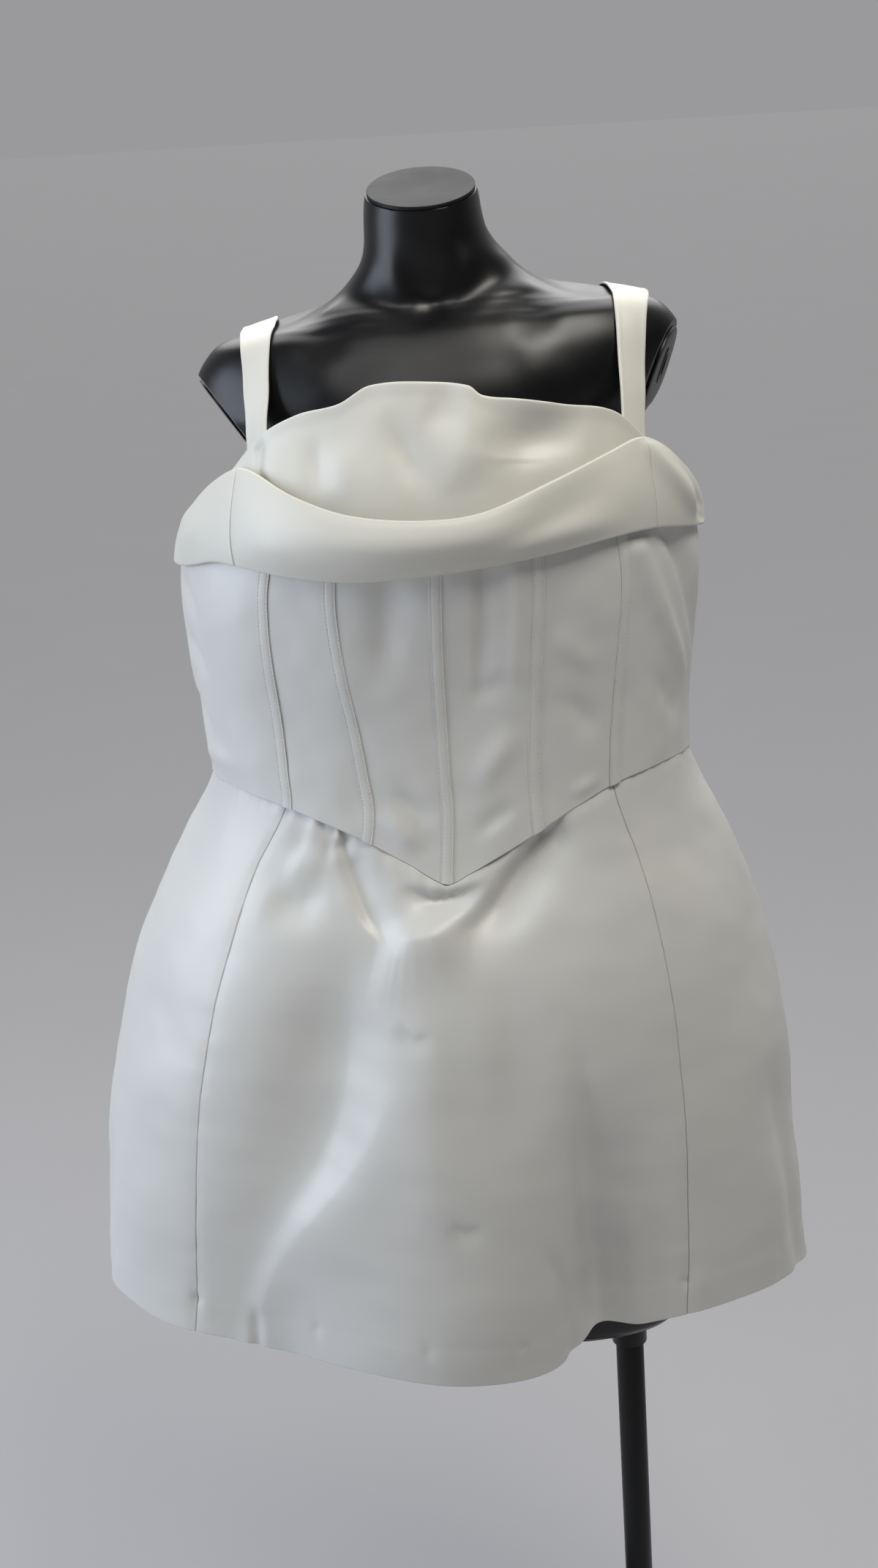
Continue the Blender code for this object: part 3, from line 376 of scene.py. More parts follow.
BODICE_CREASES = (
    # Left side of the front.
    Crease(((-84.0, 1.212), (-70.0, 1.190), (-57.0, 1.180)), -0.0052, 0.012, 0.009, ""),
    Crease(((-84.0, 1.160), (-70.0, 1.142), (-56.0, 1.126)), -0.0048, 0.011, 0.009, ""),
    Crease(((-88.0, 1.098), (-74.0, 1.088), (-60.0, 1.070)), -0.0050, 0.010, 0.012, ""),
    Crease(((-78.0, 1.060), (-64.0, 1.058), (-50.0, 1.052)), 0.0034, 0.010, 0.010, ""),
    # Between the bones.
    Crease(((-8.0, 1.232), (-9.0, 1.180), (-10.5, 1.120)), -0.0032, 0.015, 0.013, "start"),
    Crease(((-15.0, 1.030), (-9.5, 1.012), (-3.5, 0.992)), 0.0030, 0.009, 0.007, ""),
    Crease(((-12.0, 1.046), (-6.0, 1.030), (-2.0, 1.010)), -0.0022, 0.008, 0.006, ""),
    Crease(((10.8, 1.230), (10.5, 1.175), (9.9, 1.105)), -0.0026, 0.012, 0.004, "start"),
    Crease(((18.0, 1.230), (18.2, 1.180), (17.2, 1.110)), 0.0016, 0.010, 0.006, "start"),
    Crease(((5.0, 1.120), (12.0, 1.128), (18.0, 1.140)), -0.0020, 0.010, 0.010, ""),
    Crease(((18.0, 1.100), (13.0, 1.070), (7.0, 1.035)), 0.0028, 0.011, 0.011, ""),
    Crease(((17.5, 1.030), (11.0, 1.016), (6.0, 1.000)), -0.0026, 0.006, 0.009, ""),
    Crease(((26.0, 1.180), (31.0, 1.150), (38.0, 1.140)), 0.0020, 0.010, 0.010, ""),
    Crease(((25.0, 1.120), (32.0, 1.100), (37.0, 1.070)), -0.0022, 0.010, 0.010, ""),
    Crease(((38.0, 1.045), (34.0, 1.038), (28.0, 1.030)), 0.0020, 0.006, 0.006, ""),
    # Right side of the front: the long diagonal from under the band to the waist.
    Crease(((48.0, 1.225), (54.0, 1.180), (64.0, 1.130), (76.0, 1.085)),
           0.0052, 0.009, 0.012, "start"),
    Crease(((60.0, 1.232), (68.0, 1.190), (78.0, 1.140), (87.0, 1.100)),
           -0.0066, 0.015, 0.010, "start"),
    Crease(((50.0, 1.130), (58.0, 1.100), (70.0, 1.062)), -0.0026, 0.010, 0.010, ""),
    # Back.
    Crease(((100.0, 1.180), (112.0, 1.150), (128.0, 1.120)), -0.0034, 0.012, 0.012, ""),
    Crease(((-100.0, 1.190), (-114.0, 1.150), (-130.0, 1.118)), -0.0034, 0.012, 0.012, ""),
    Crease(((98.0, 1.080), (112.0, 1.075), (130.0, 1.066)), -0.0030, 0.008, 0.012, ""),
    Crease(((-98.0, 1.084), (-112.0, 1.073), (-130.0, 1.064)), -0.0030, 0.012, 0.008, ""),
    Crease(((150.0, 1.120), (148.0, 1.090), (143.0, 1.060)), 0.0020, 0.008, 0.008, ""),
    Crease(((-150.0, 1.140), (-148.0, 1.100), (-143.0, 1.070)), 0.0020, 0.008, 0.008, ""),
)
COWL_CREASES = (
    Crease(((-46.0, 1.318), (-44.0, 1.300), (-38.0, 1.285)), -0.0026, 0.005, 0.005, "start"),
    Crease(((-13.0, 1.352), (-9.0, 1.330), (-3.0, 1.300), (1.0, 1.280)),
           -0.0040, 0.010, 0.012, ""),
    Crease(((-4.0, 1.350), (2.0, 1.345), (8.0, 1.350)), -0.0022, 0.014, 0.013, ""),
    Crease(((9.5, 1.356), (9.0, 1.335), (7.0, 1.310), (8.0, 1.285)),
           0.0056, 0.034, 0.020, "start"),
    Crease(((10.0, 1.356), (20.0, 1.352), (30.0, 1.346), (38.0, 1.340)), 0.0056, 0.014, 0.014, ""),
    Crease(((8.0, 1.316), (17.0, 1.320), (27.0, 1.322), (38.0, 1.322)), -0.0066, 0.015, 0.015, ""),
    Crease(((-24.0, 1.330), (-20.0, 1.300), (-16.0, 1.280)), 0.0024, 0.014, 0.014, ""),
    Crease(((-30.0, 1.335), (-28.0, 1.310), (-24.0, 1.290)), -0.0016, 0.008, 0.008, ""),
)
# The band's creases run over (angle, share of its height).
BAND_CREASES = (
    Crease(((53.5, 0.97), (58.0, 0.74), (66.0, 0.40), (76.0, 0.16)), 0.0066, 0.34, 0.18, "start"),
    Crease(((46.0, 0.50), (36.0, 0.62), (25.0, 0.55), (12.0, 0.42)), -0.0036, 0.26, 0.36, ""),
    Crease(((46.0, 0.10), (36.0, 0.18), (24.0, 0.22), (12.0, 0.14)), 0.0028, 0.16, 0.16, ""),
    Crease(((70.0, 0.20), (80.0, 0.10), (88.0, 0.14)), -0.0030, 0.16, 0.16, ""),
    Crease(((70.0, 0.60), (78.0, 0.45), (88.0, 0.36)), -0.0022, 0.20, 0.20, ""),
    Crease(((-42.0, 0.62), (-16.0, 0.62), (8.0, 0.64), (30.0, 0.68)), 0.0034, 0.34, 0.30, ""),
    Crease(((-52.0, 0.30), (-62.0, 0.36), (-74.0, 0.30)), 0.0016, 0.26, 0.20, ""),
    Crease(((-44.0, 0.35), (-30.0, 0.30), (-14.0, 0.26)), 0.0018, 0.30, 0.20, ""),
    Crease(((100.0, 0.60), (120.0, 0.50), (140.0, 0.60)), -0.0012, 0.20, 0.20, ""),
    Crease(((-100.0, 0.60), (-122.0, 0.50), (-140.0, 0.58)), -0.0012, 0.20, 0.20, ""),
)

# The form's creases lie on its front, over (x, height): collar bones, the hollows by them,
# the neck's cords, the chest and the fronts of the shoulders.
FORM_CREASES = (
    Crease(((-0.118, 1.4045), (-0.085, 1.4085), (-0.045, 1.4080), (-0.010, 1.4000)),
           0.0036, 0.0090, 0.0085, ""),
    Crease(((0.122, 1.4150), (0.090, 1.4190), (0.056, 1.4175), (0.022, 1.4020)),
           0.0036, 0.0085, 0.0090, ""),
    Crease(((-0.112, 1.3945), (-0.086, 1.3950), (-0.056, 1.3955)), -0.0026, 0.009, 0.015, ""),
    Crease(((0.064, 1.4050), (0.088, 1.4040), (0.112, 1.4010)), -0.0022, 0.009, 0.016, ""),
    Crease(((0.0062, 1.4300), (0.0064, 1.4150), (0.0066, 1.3980)), -0.0026, 0.009, 0.009, ""),
    Crease(((-0.006, 1.4020), (-0.020, 1.4380), (-0.028, 1.4680)), 0.0020, 0.010, 0.010, ""),
    Crease(((0.019, 1.4040), (0.032, 1.4380), (0.040, 1.4650)), 0.0020, 0.010, 0.010, ""),
    Crease(((0.070, 1.3980), (0.085, 1.3700), (0.099, 1.3400)), 0.0013, 0.016, 0.012, ""),
    Crease(((-0.060, 1.3900), (-0.078, 1.3660), (-0.094, 1.3400)), 0.0010, 0.012, 0.016, ""),
)

Tack = namedtuple("Tack", "angle rise depth")
HEM_TACKS = (
    Tack(-42.6, 0.030, 0.0022),
    Tack(39.9, 0.030, 0.0022),
    Tack(-66.0, 0.028, 0.0009),
    Tack(-20.0, 0.030, 0.0009),
    Tack(-2.0, 0.029, 0.0008),
    Tack(12.0, 0.030, 0.0010),
    Tack(62.0, 0.029, 0.0010),
    Tack(91.0, 0.030, 0.0016),
    Tack(-91.0, 0.030, 0.0016),
    Tack(115.0, 0.029, 0.0009),
    Tack(-118.0, 0.030, 0.0009),
    Tack(139.5, 0.030, 0.0016),
    Tack(-139.5, 0.030, 0.0016),
    Tack(162.0, 0.030, 0.0010),
    Tack(-160.0, 0.029, 0.0010),
    Tack(180.0, 0.030, 0.0016),
)


# A cloth piece's cut size, without what is turned under or sewn in: its width, length and area.
Cut = namedtuple("Cut", "width length area")


def smoothstep(low, high, value):
    share = np.clip((np.asarray(value, float) - low) / (high - low), 0.0, 1.0)
    return share * share * (3.0 - 2.0 * share)


def mix(low, high, share):
    return low + (high - low) * share


def along(rows, column, at):
    """A table's column at many keys, on a smooth curve through its rows. The first column is
    the key."""
    keys = np.array([row[0] for row in rows], float)
    values = np.array([getattr(row, column) for row in rows], float)
    last = len(keys) - 1
    after = np.minimum(np.arange(last + 1) + 1, last)
    before = np.maximum(np.arange(last + 1) - 1, 0)
    slopes = (values[after] - values[before]) / (keys[after] - keys[before])
    at = np.clip(at, keys[0], keys[-1])
    low = np.clip(np.searchsorted(keys, at, side="right") - 1, 0, last - 1)
    width = keys[low + 1] - keys[low]
    s = (at - keys[low]) / width
    return (
        mix(values[low], values[low + 1], s * s * (3 - 2 * s))
        + width * slopes[low] * s * (1 - s) ** 2
        - width * slopes[low + 1] * s * s * (1 - s)
    )


def unit(vectors):
    return vectors / np.maximum(np.linalg.norm(vectors, axis=-1, keepdims=True), 1e-12)


def angle_between(angle, centre):
    return (angle - centre + 180.0) % 360.0 - 180.0


def fold_depth(angle, height):
    total = np.zeros_like(angle)
    for fold in SKIRT_FOLDS:
        grown = 1.0 - smoothstep(fold.bottom, fold.top, height)
        away = angle_between(angle, fold.angle) / fold.spread
        total = total + fold.depth * grown * np.exp(-(away**2))
    return total


def dress_surface(angle, height):
    """Points of the dress's outside, with its large folds."""
    angle, height = np.broadcast_arrays(np.asarray(angle, float), np.asarray(height, float))
    half_width = along(DRESS_SECTIONS, "half_width", height)
    turn = np.radians(angle)
    depth = np.where(
        np.cos(turn) > 0,
        along(DRESS_SECTIONS, "front", height),
        along(DRESS_SECTIONS, "back", height),
    )
    swell = 1.0 + along(DRESS_SECTIONS, "square", height) * np.sin(2 * turn) ** 2
    x, y = half_width * np.sin(turn) * swell, -depth * np.cos(turn) * swell
    outward = unit(np.stack([x / half_width**2, y / depth**2, np.zeros_like(x)], -1))
    place = np.stack([x + along(DRESS_SECTIONS, "centre_x", height), y, height], -1)
    return place + outward * fold_depth(angle, height)[..., None]


def dress_normal(angle, height):
    turn, rise = 0.5, 0.004
    across = dress_surface(angle + turn, height) - dress_surface(angle - turn, height)
    up = dress_surface(angle, height + rise) - dress_surface(angle, height - rise)
    return unit(np.cross(across, up))


def dress_point(angle, height, out=0.0):
    """Points of the dress's outside, moved out along its normal."""
    out = np.asarray(out, float)[..., None]
    return dress_surface(angle, height) + dress_normal(angle, height) * out


def degrees_for(distance, angle, height):
    """The turn that covers a distance along the dress's outside."""
    step = dress_surface(angle + 1.0, height) - dress_surface(angle, height)
    return distance / np.linalg.norm(step, axis=-1)


def ripples(u, v, size, seed):
    """A smooth, wavy field of about -1 to 1 over places in metres."""
    draw = np.random.default_rng(seed)
    total = np.zeros_like(u)
    for _ in range(9):
        turn, phase = draw.uniform(0, 2 * math.pi, 2)
        length = size * draw.uniform(0.7, 1.6)
        total += np.sin(2 * math.pi * (u * math.cos(turn) + v * math.sin(turn)) / length + phase)
    return total / 3.2


def smooth_line(points, parts=6):
    """A line through the points, with the corners eased."""
    points = np.array(points, float)
    if len(points) < 3:
        return points
    padded = np.vstack([2 * points[0] - points[1], points, 2 * points[-1] - points[-2]])
    found = []
    for a, b, c, d in zip(padded, padded[1:], padded[2:], padded[3:]):
        for k in range(parts):
            t = k / parts
            found.append(
                0.5 * (2 * b + (c - a) * t + (2 * a - 5 * b + 4 * c - d) * t**2
                       + (3 * b - a - 3 * c + d) * t**3)
            )
    return np.array(found + [points[-1]])


def crease_shape(crease, path, across, up):
    """How far one crease moves each place out, over places and a path in metres."""
    total = np.zeros_like(across)
    reach = 3.2 * max(crease.left, crease.right)
    near = (across > path[:, 0].min() - reach) & (across < path[:, 0].max() + reach)
    near &= (up > path[:, 1].min() - reach) & (up < path[:, 1].max() + reach)
    if not near.any():
        return total
    spots = np.stack([across[near], up[near]], -1)
    steps = np.diff(path, axis=0)
    lengths = np.linalg.norm(steps, axis=1)
    done = np.concatenate([[0.0], np.cumsum(lengths)])
    best = np.full(len(spots), 1e9)
    where = np.zeros(len(spots))
    hand = np.zeros(len(spots))
    for start, step, length, before in zip(path, steps, lengths, done):
        away = spots - start
        t = np.clip(away @ step / length**2, 0.0, 1.0)
        distance = np.linalg.norm(away - t[:, None] * step, axis=1)
        closer = distance < best
        best = np.where(closer, distance, best)
        where = np.where(closer, (before + t * length) / done[-1], where)
        turn = (step[0] * away[:, 1] - step[1] * away[:, 0]) / length
        hand = np.where(closer, turn, hand)
    # Past an end the two hands meet, so the width is eased from one to the other.
    side = 0.5 + 0.5 * np.clip(hand / (0.35 * min(crease.left, crease.right)), -1.0, 1.0)
    width = mix(crease.right, crease.left, side)
    shape = np.exp(-((best / width) ** 2))
    if "start" not in crease.open:
        shape = shape * smoothstep(0.0, 0.45, where)
    if "end" not in crease.open:
        shape = shape * smoothstep(0.0, 0.45, 1.0 - where)
    total[near] = crease.depth * shape
    return total


def crease_relief(creases, angle, height, metres_per_degree=None):
    """How far the creases move each place out."""
    total = np.zeros_like(angle)
    for crease in creases:
        line = smooth_line(crease.line)
        middle = line[len(line) // 2]
        scale = metres_per_degree
        if scale is None:
            scale = 1.0 / float(degrees_for(1.0, middle[0], middle[1]))
        path = np.stack([angle_between(line[:, 0], middle[0]) * scale, line[:, 1]], -1)
        total += crease_shape(crease, path, angle_between(angle, middle[0]) * scale, height)
    return total


def finish_piece(made, finish, body=BODY, replaces=()):
    """Gives a finished piece its material and its body, and hides the nodes that it stands for."""
    made.data.materials.clear()
    made.data.materials.append(finish)
    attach(made, body)
    if replaces:
        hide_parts(*replaces)
    return made


def finish_cloth(made, finish, node):
    """Finishes a piece of cloth and hides the node that it stands for."""
    finish_piece(made, finish, replaces=[node])


def add_mesh(name, points, faces, places=None, sharp=50.0):
    """A smooth mesh object. The places, if any, are each point's (across, up) in metres."""
    mesh = bpy.data.meshes.new(name)
    mesh.from_pydata(points.tolist(), [], faces)
    if places is not None:
        layer = mesh.uv_layers.new(name="cloth")
        corners = np.empty(len(mesh.loops), np.int64)
        mesh.loops.foreach_get("vertex_index", corners)
        layer.data.foreach_set("uv", places[corners].astype(np.float32).ravel())
    mesh.shade_smooth()
    mesh.set_sharp_from_angle(angle=math.radians(sharp))
    made = bpy.data.objects.new(name, mesh)
    bpy.context.scene.collection.objects.link(made)
    return made


def grid_faces(rows, columns, first=0, flip=False, close=False):
    """The quads of a grid of points, whose rows close round if asked."""
    j, i = np.meshgrid(np.arange(rows - 1), np.arange(columns if close else columns - 1),
                       indexing="ij")
    i2 = (i + 1) % columns
    quads = np.stack([j * columns + i, j * columns + i2,
                      (j + 1) * columns + i2, (j + 1) * columns + i], -1).reshape(-1, 4)
    if flip:
        quads = quads[:, ::-1]
    return (quads + first).tolist()


def cloth_places(grid):
    """Each point's way across and up the cloth, in metres, from the middle of its lower edge."""
    across = np.linalg.norm(np.diff(grid, axis=1), axis=-1)
    up = np.linalg.norm(np.diff(grid, axis=0), axis=-1)
    u = np.concatenate([np.zeros((grid.shape[0], 1)), np.cumsum(across, axis=1)], axis=1)
    v = np.concatenate([np.zeros((1, grid.shape[1])), np.cumsum(up, axis=0)], axis=0)
    return np.stack([u - u[:, -1:] / 2, v], -1)


def wall(name, outer, inner):
    """A closed wall between two grids of points, whose rows run up the piece."""
    rows, columns = outer.shape[:2]
    count = rows * columns
    faces = grid_faces(rows, columns) + grid_faces(rows, columns, count, flip=True)
    rim = [(0, i) for i in range(columns - 1)]
    rim += [(j, columns - 1) for j in range(rows - 1)]
    rim += [(rows - 1, i) for i in range(columns - 1, 0, -1)]
    rim += [(j, 0) for j in range(rows - 1, 0, -1)]
    for (j, i), (n, m) in zip(rim, rim[1:] + rim[:1]):
        a, b = j * columns + i, n * columns + m
        faces.append((b, a, a + count, b + count))
    places = cloth_places(outer).reshape(-1, 2)
    points = np.concatenate([outer.reshape(-1, 3), inner.reshape(-1, 3)])
    return add_mesh(name, points, faces, np.concatenate([places, places]))


def coarser(step):
    return step


def steps_across(width, step, edge_steps=(0.0, 0.00035, 0.0008, 0.0014, 0.0022, 0.0033)):
    """Shares across a width, close together at both edges and even between them."""
    inner = width - 2 * edge_steps[-1]
    count = max(2, round(inner / step))
    middle = [edge_steps[-1] + inner * k / count for k in range(1, count)]
    far = [width - s for s in reversed(edge_steps)]
    return np.array([*edge_steps, *middle, *far]) / width


def rounded_edge(distance, radius):
    """How far a rounded edge has dropped at a distance in from it."""
    short = np.clip(1.0 - distance / radius, 0.0, 1.0)
    return radius * (1.0 - np.sqrt(1.0 - short**2))


def panel_grid(left, right, low, high, step):
    """The angles and heights of a panel between two seam lines and two edges, and each place's
    distance in from the left, right, low and high edges."""
    heights = np.linspace(0.02, 0.98, 9)
    level = np.full_like(heights, MID_BODICE)
    middle = mix(left(level), right(level), 0.5)
    base, top = low(middle[0]), high(middle[0])
    levels = mix(base, top, heights)
    turn = right(levels) - left(levels)
    width = float(np.max(turn / degrees_for(1.0, mix(left(levels), right(levels), 0.5), levels)))
    tall = float(top - base)
    across, up = steps_across(width, step), steps_across(tall, step)
    share, rise = np.meshgrid(across, up)
    level = np.ones_like(share)
    angle = mix(left(level), right(level), share)
    for _ in range(5):
        height = mix(low(angle) + SEAM_GAP / 2, high(angle) - SEAM_GAP / 2, rise)
        start, end = left(height), right(height)
        start = start + degrees_for(SEAM_GAP / 2, start, height)
        end = end - degrees_for(SEAM_GAP / 2, end, height)
        angle = mix(start, end, share)
    metres = 1.0 / degrees_for(1.0, angle, height)
    edges = (
        (angle - start) * metres,
        (end - angle) * metres,
        height - low(angle),
        high(angle) - height,
    )
    return angle, height, edges


def seam_relief(distance, along_seam, seed, valley=0.0006):
    """The dip at a seam, its soft valley and the small puckers beside it."""
    puckers = ripples(along_seam, distance * 0.2, 0.017, seed) * np.exp(-distance / 0.010)
    dip = -valley * np.exp(-((distance / 0.0055) ** 2))
    return -rounded_edge(distance, 0.0009) + dip + 0.36 * valley * puckers


def hem_relief(angle, rise):
    """The turned-up hem's step and its tacks."""
    total = 0.00035 * (1.0 - smoothstep(0.028, 0.034, rise))
    for tack in HEM_TACKS:
        metres = 1.0 / degrees_for(1.0, tack.angle, HEM_LEVEL)
        u = angle_between(angle, tack.angle) * metres
        v = rise - tack.rise
        total = total - tack.depth * np.exp(-((u / 0.0045) ** 2 + (v / 0.0045) ** 2))
        total = total - 0.45 * tack.depth * np.exp(-((u / 0.006) ** 2 + (v / 0.018) ** 2))
        total = total + 0.35 * tack.depth * np.exp(-(((u - 0.012) / 0.008) ** 2 + (v / 0.014) ** 2))
    return total


def cloth_relief(creases, angle, height, broad, seed):
    """The listed creases, with broad and fine waves over them."""
    u = np.radians(angle) * DRESS_RADIUS
    total = crease_relief(creases, angle, height)
    total += broad * ripples(u, height, 0.110, seed)
    total += 0.18 * broad * ripples(u, height, 0.034, seed + 1)
    return total


def panel(name, lines, edges, step, creases, finish, settings, hem=False, seed=1, broad=0.0009,
          valleys=(0.0006, 0.0006)):
    """A cloth panel cut between two seam lines and two edges, as a closed thin wall."""
    angle, height, (left, right, low, high) = panel_grid(*lines, *edges, coarser(step))
    out = cloth_relief(creases, angle, height, broad, seed)
    out += seam_relief(left, height, seed + 2, valleys[0])
    out += seam_relief(right, height, seed + 3, valleys[1])
    u = np.radians(angle) * DRESS_RADIUS
    out += seam_relief(high, u, seed + 4, 0.0014 if hem else 0.0006)
    wall_out = np.full_like(out, settings.wall)
    if hem:
        out += hem_relief(angle, low)
        out -= rounded_edge(low, settings.wall / 2)
        wall_out -= rounded_edge(low, settings.wall / 2)
    else:
        out += seam_relief(low, u, seed + 5, 0.0002)
    base, normal = dress_surface(angle, height), dress_normal(angle, height)
    outer = base + normal * out[..., None]
    edge_drop = np.minimum(np.minimum(left, right), np.minimum(high, low))
    inner_out = out - wall_out + rounded_edge(edge_drop, 0.0009) * 0.9
    if hem:
        inner_out = out - wall_out + rounded_edge(low, settings.wall / 2)
    inner = base + normal * inner_out[..., None]
    made = wall(f"{name}_cloth", outer, inner)
    if hem:
        finish_cloth(made, finish, name)
    else:
        finish_cloth(made, finish, name)


def steady(angle):
    return lambda height: np.full_like(np.asarray(height, float), angle)


def waist_height(angle):
    return along(WAIST_SEAM, "height", angle)


def hem_height(angle):
    return along(HEM, "height", angle)


def cowl_height(angle):
    return along(COWL_TOP, "height", angle)


def bodice_height(angle):
    return np.full_like(np.asarray(angle, float), BODICE_TOP)


def bone_line(bone):
    def line(height):
        share = smoothstep(0.98, BODICE_TOP, height)
        return mix(bone.angle_at_waist, bone.angle_at_band, share)

    return line


def princess_line(side):
    return lambda height: along(PRINCESS_SEAMS, side, height)


def new_material(name, slot):
    made = bpy.data.materials.new(name)
    made.use_nodes = True
    made["slot"] = slot
    return made, made.node_tree, made.node_tree.nodes["Principled BSDF"]


def add_node(tree, kind, **values):
    """A node with its settings and its inputs' values, by name."""
    made = tree.nodes.new(kind)
    for key, value in values.items():
        name = key.replace("_", " ")
        if hasattr(made, key):
            setattr(made, key, value)
        else:
            made.inputs[name].default_value = value
    return made


def new_group(name, inputs, outputs):
    """An empty shader node group with named sockets."""
    group = bpy.data.node_groups.new(name, "ShaderNodeTree")
    for label, kind, value in inputs:
        socket = group.interface.new_socket(label, in_out="INPUT", socket_type=kind)
        if value is not None:
            socket.default_value = value
    for label, kind in outputs:
        group.interface.new_socket(label, in_out="OUTPUT", socket_type=kind)
    return group, group.nodes.new("NodeGroupInput"), group.nodes.new("NodeGroupOutput")


def blend_colours(tree, low, high, mask, shader):
    """Runs a shader's colour from low to high over a mask."""
    shade = add_node(tree, "ShaderNodeMix", data_type="RGBA")
    for socket in shade.inputs:
        if socket.type == "RGBA":
            socket.default_value = (*(low if socket.name == "A" else high), 1.0)
    tree.links.new(mask, shade.inputs["Factor"])
    blended = next(s for s in shade.outputs if s.type == "RGBA")
    tree.links.new(blended, shader.inputs["Base Color"])


def vary_roughness(tree, roughness, spread, mask, shader, start=0.0, end=1.0):
    """Spreads a shader's roughness either way, between two values of a mask."""
    gloss = add_node(tree, "ShaderNodeMapRange")
    ends = {"From Min": start, "From Max": end,
            "To Min": roughness - spread, "To Max": roughness + spread}
    for name, value in ends.items():
        gloss.inputs[name].default_value = value
    tree.links.new(mask, gloss.inputs["Value"])
    tree.links.new(gloss.outputs["Result"], shader.inputs["Roughness"])


def add_bump(tree, strength, distance, height, shader):
    bump = add_node(tree, "ShaderNodeBump", Strength=strength, Distance=distance)
    tree.links.new(height, bump.inputs["Height"])
    tree.links.new(bump.outputs["Normal"], shader.inputs["Normal"])


def satin_weave_group():
    """Fine warp lines, soft mottling and the height of the weave, over places in metres."""
    group, start, end = new_group(
        "satin_weave",
        [
            ("Place", "NodeSocketVector", None),
            ("Warp Lines", "NodeSocketFloat", 2600.0),
            ("Slub", "NodeSocketFloat", 0.25),
        ],
        [("Height", "NodeSocketFloat"), ("Mottle", "NodeSocketFloat"), ("Rub", "NodeSocketFloat")],
    )
    link = group.links.new
    stretch = add_node(group, "ShaderNodeMapping")
    stretch.inputs["Scale"].default_value = (1.0, 0.06, 1.0)
    link(start.outputs["Place"], stretch.inputs["Vector"])
    warp = add_node(group, "ShaderNodeTexNoise", Detail=1.0, Roughness=0.4)
    link(stretch.outputs["Vector"], warp.inputs["Vector"])
    link(start.outputs["Warp Lines"], warp.inputs["Scale"])
    slub = add_node(group, "ShaderNodeTexNoise", Scale=240.0, Detail=2.0)
    link(stretch.outputs["Vector"], slub.inputs["Vector"])
    height = add_node(group, "ShaderNodeMix")
    link(start.outputs["Slub"], height.inputs["Factor"])
    link(warp.outputs["Fac"], height.inputs["A"])
    link(slub.outputs["Fac"], height.inputs["B"])
    link(height.outputs["Result"], end.inputs["Height"])
    cloud = add_node(group, "ShaderNodeTexNoise", Scale=9.0, Detail=3.0, Roughness=0.55)
    link(start.outputs["Place"], cloud.inputs["Vector"])
    link(cloud.outputs["Fac"], end.inputs["Mottle"])
    rub = add_node(group, "ShaderNodeTexNoise", Scale=55.0, Detail=3.0, Roughness=0.6)
    link(start.outputs["Place"], rub.inputs["Vector"])
    link(rub.outputs["Fac"], end.inputs["Rub"])
    return group


def satin_material(name, slot, light, dark, roughness, group):
    """Duchess satin: a soft broad shine over a close weave."""
    made, tree, shader = new_material(name, slot)
    place = add_node(tree, "ShaderNodeUVMap", uv_map="cloth")
    weave = add_node(tree, "ShaderNodeGroup", node_tree=group)
    tree.links.new(place.outputs["UV"], weave.inputs["Place"])
    blend_colours(tree, dark, light, weave.outputs["Mottle"], shader)
    vary_roughness(tree, roughness, 0.03, weave.outputs["Rub"], shader)
    add_bump(tree, 0.35, 0.00006, weave.outputs["Height"], shader)
    shader.inputs["Specular IOR Level"].default_value = 0.75
    return made


def moulded_group():
    """The faint unevenness and dust of a sprayed or drawn surface, over places in metres."""
    group, start, end = new_group(
        "surface_wear",
        [("Place", "NodeSocketVector", None), ("Size", "NodeSocketFloat", 60.0)],
        [("Height", "NodeSocketFloat"), ("Smudge", "NodeSocketFloat")],
    )
    link = group.links.new
    fine = add_node(group, "ShaderNodeTexNoise", Detail=2.0, Roughness=0.5)
    link(start.outputs["Place"], fine.inputs["Vector"])
    link(start.outputs["Size"], fine.inputs["Scale"])
    link(fine.outputs["Fac"], end.inputs["Height"])
    smudge = add_node(group, "ShaderNodeTexNoise", Scale=14.0, Detail=6.0, Roughness=0.65)
    link(start.outputs["Place"], smudge.inputs["Vector"])
    link(smudge.outputs["Fac"], end.inputs["Smudge"])
    return group


def hard_material(name, slot, low, high, roughness, spread, metallic, size, bump_height, group,
                  shine=0.5):
    """Paint or metal, with smudges in its shine and a faint unevenness."""
    made, tree, shader = new_material(name, slot)
    place = add_node(tree, "ShaderNodeTexCoord")
    wear = add_node(tree, "ShaderNodeGroup", node_tree=group)
    wear.inputs["Size"].default_value = size
    tree.links.new(place.outputs["Object"], wear.inputs["Place"])
    blend_colours(tree, low, high, wear.outputs["Smudge"], shader)
    vary_roughness(tree, roughness, spread, wear.outputs["Smudge"], shader, 0.3, 0.7)
    add_bump(tree, 0.3, bump_height, wear.outputs["Height"], shader)
    shader.inputs["Metallic"].default_value = metallic
    shader.inputs["Specular IOR Level"].default_value = shine
    return made


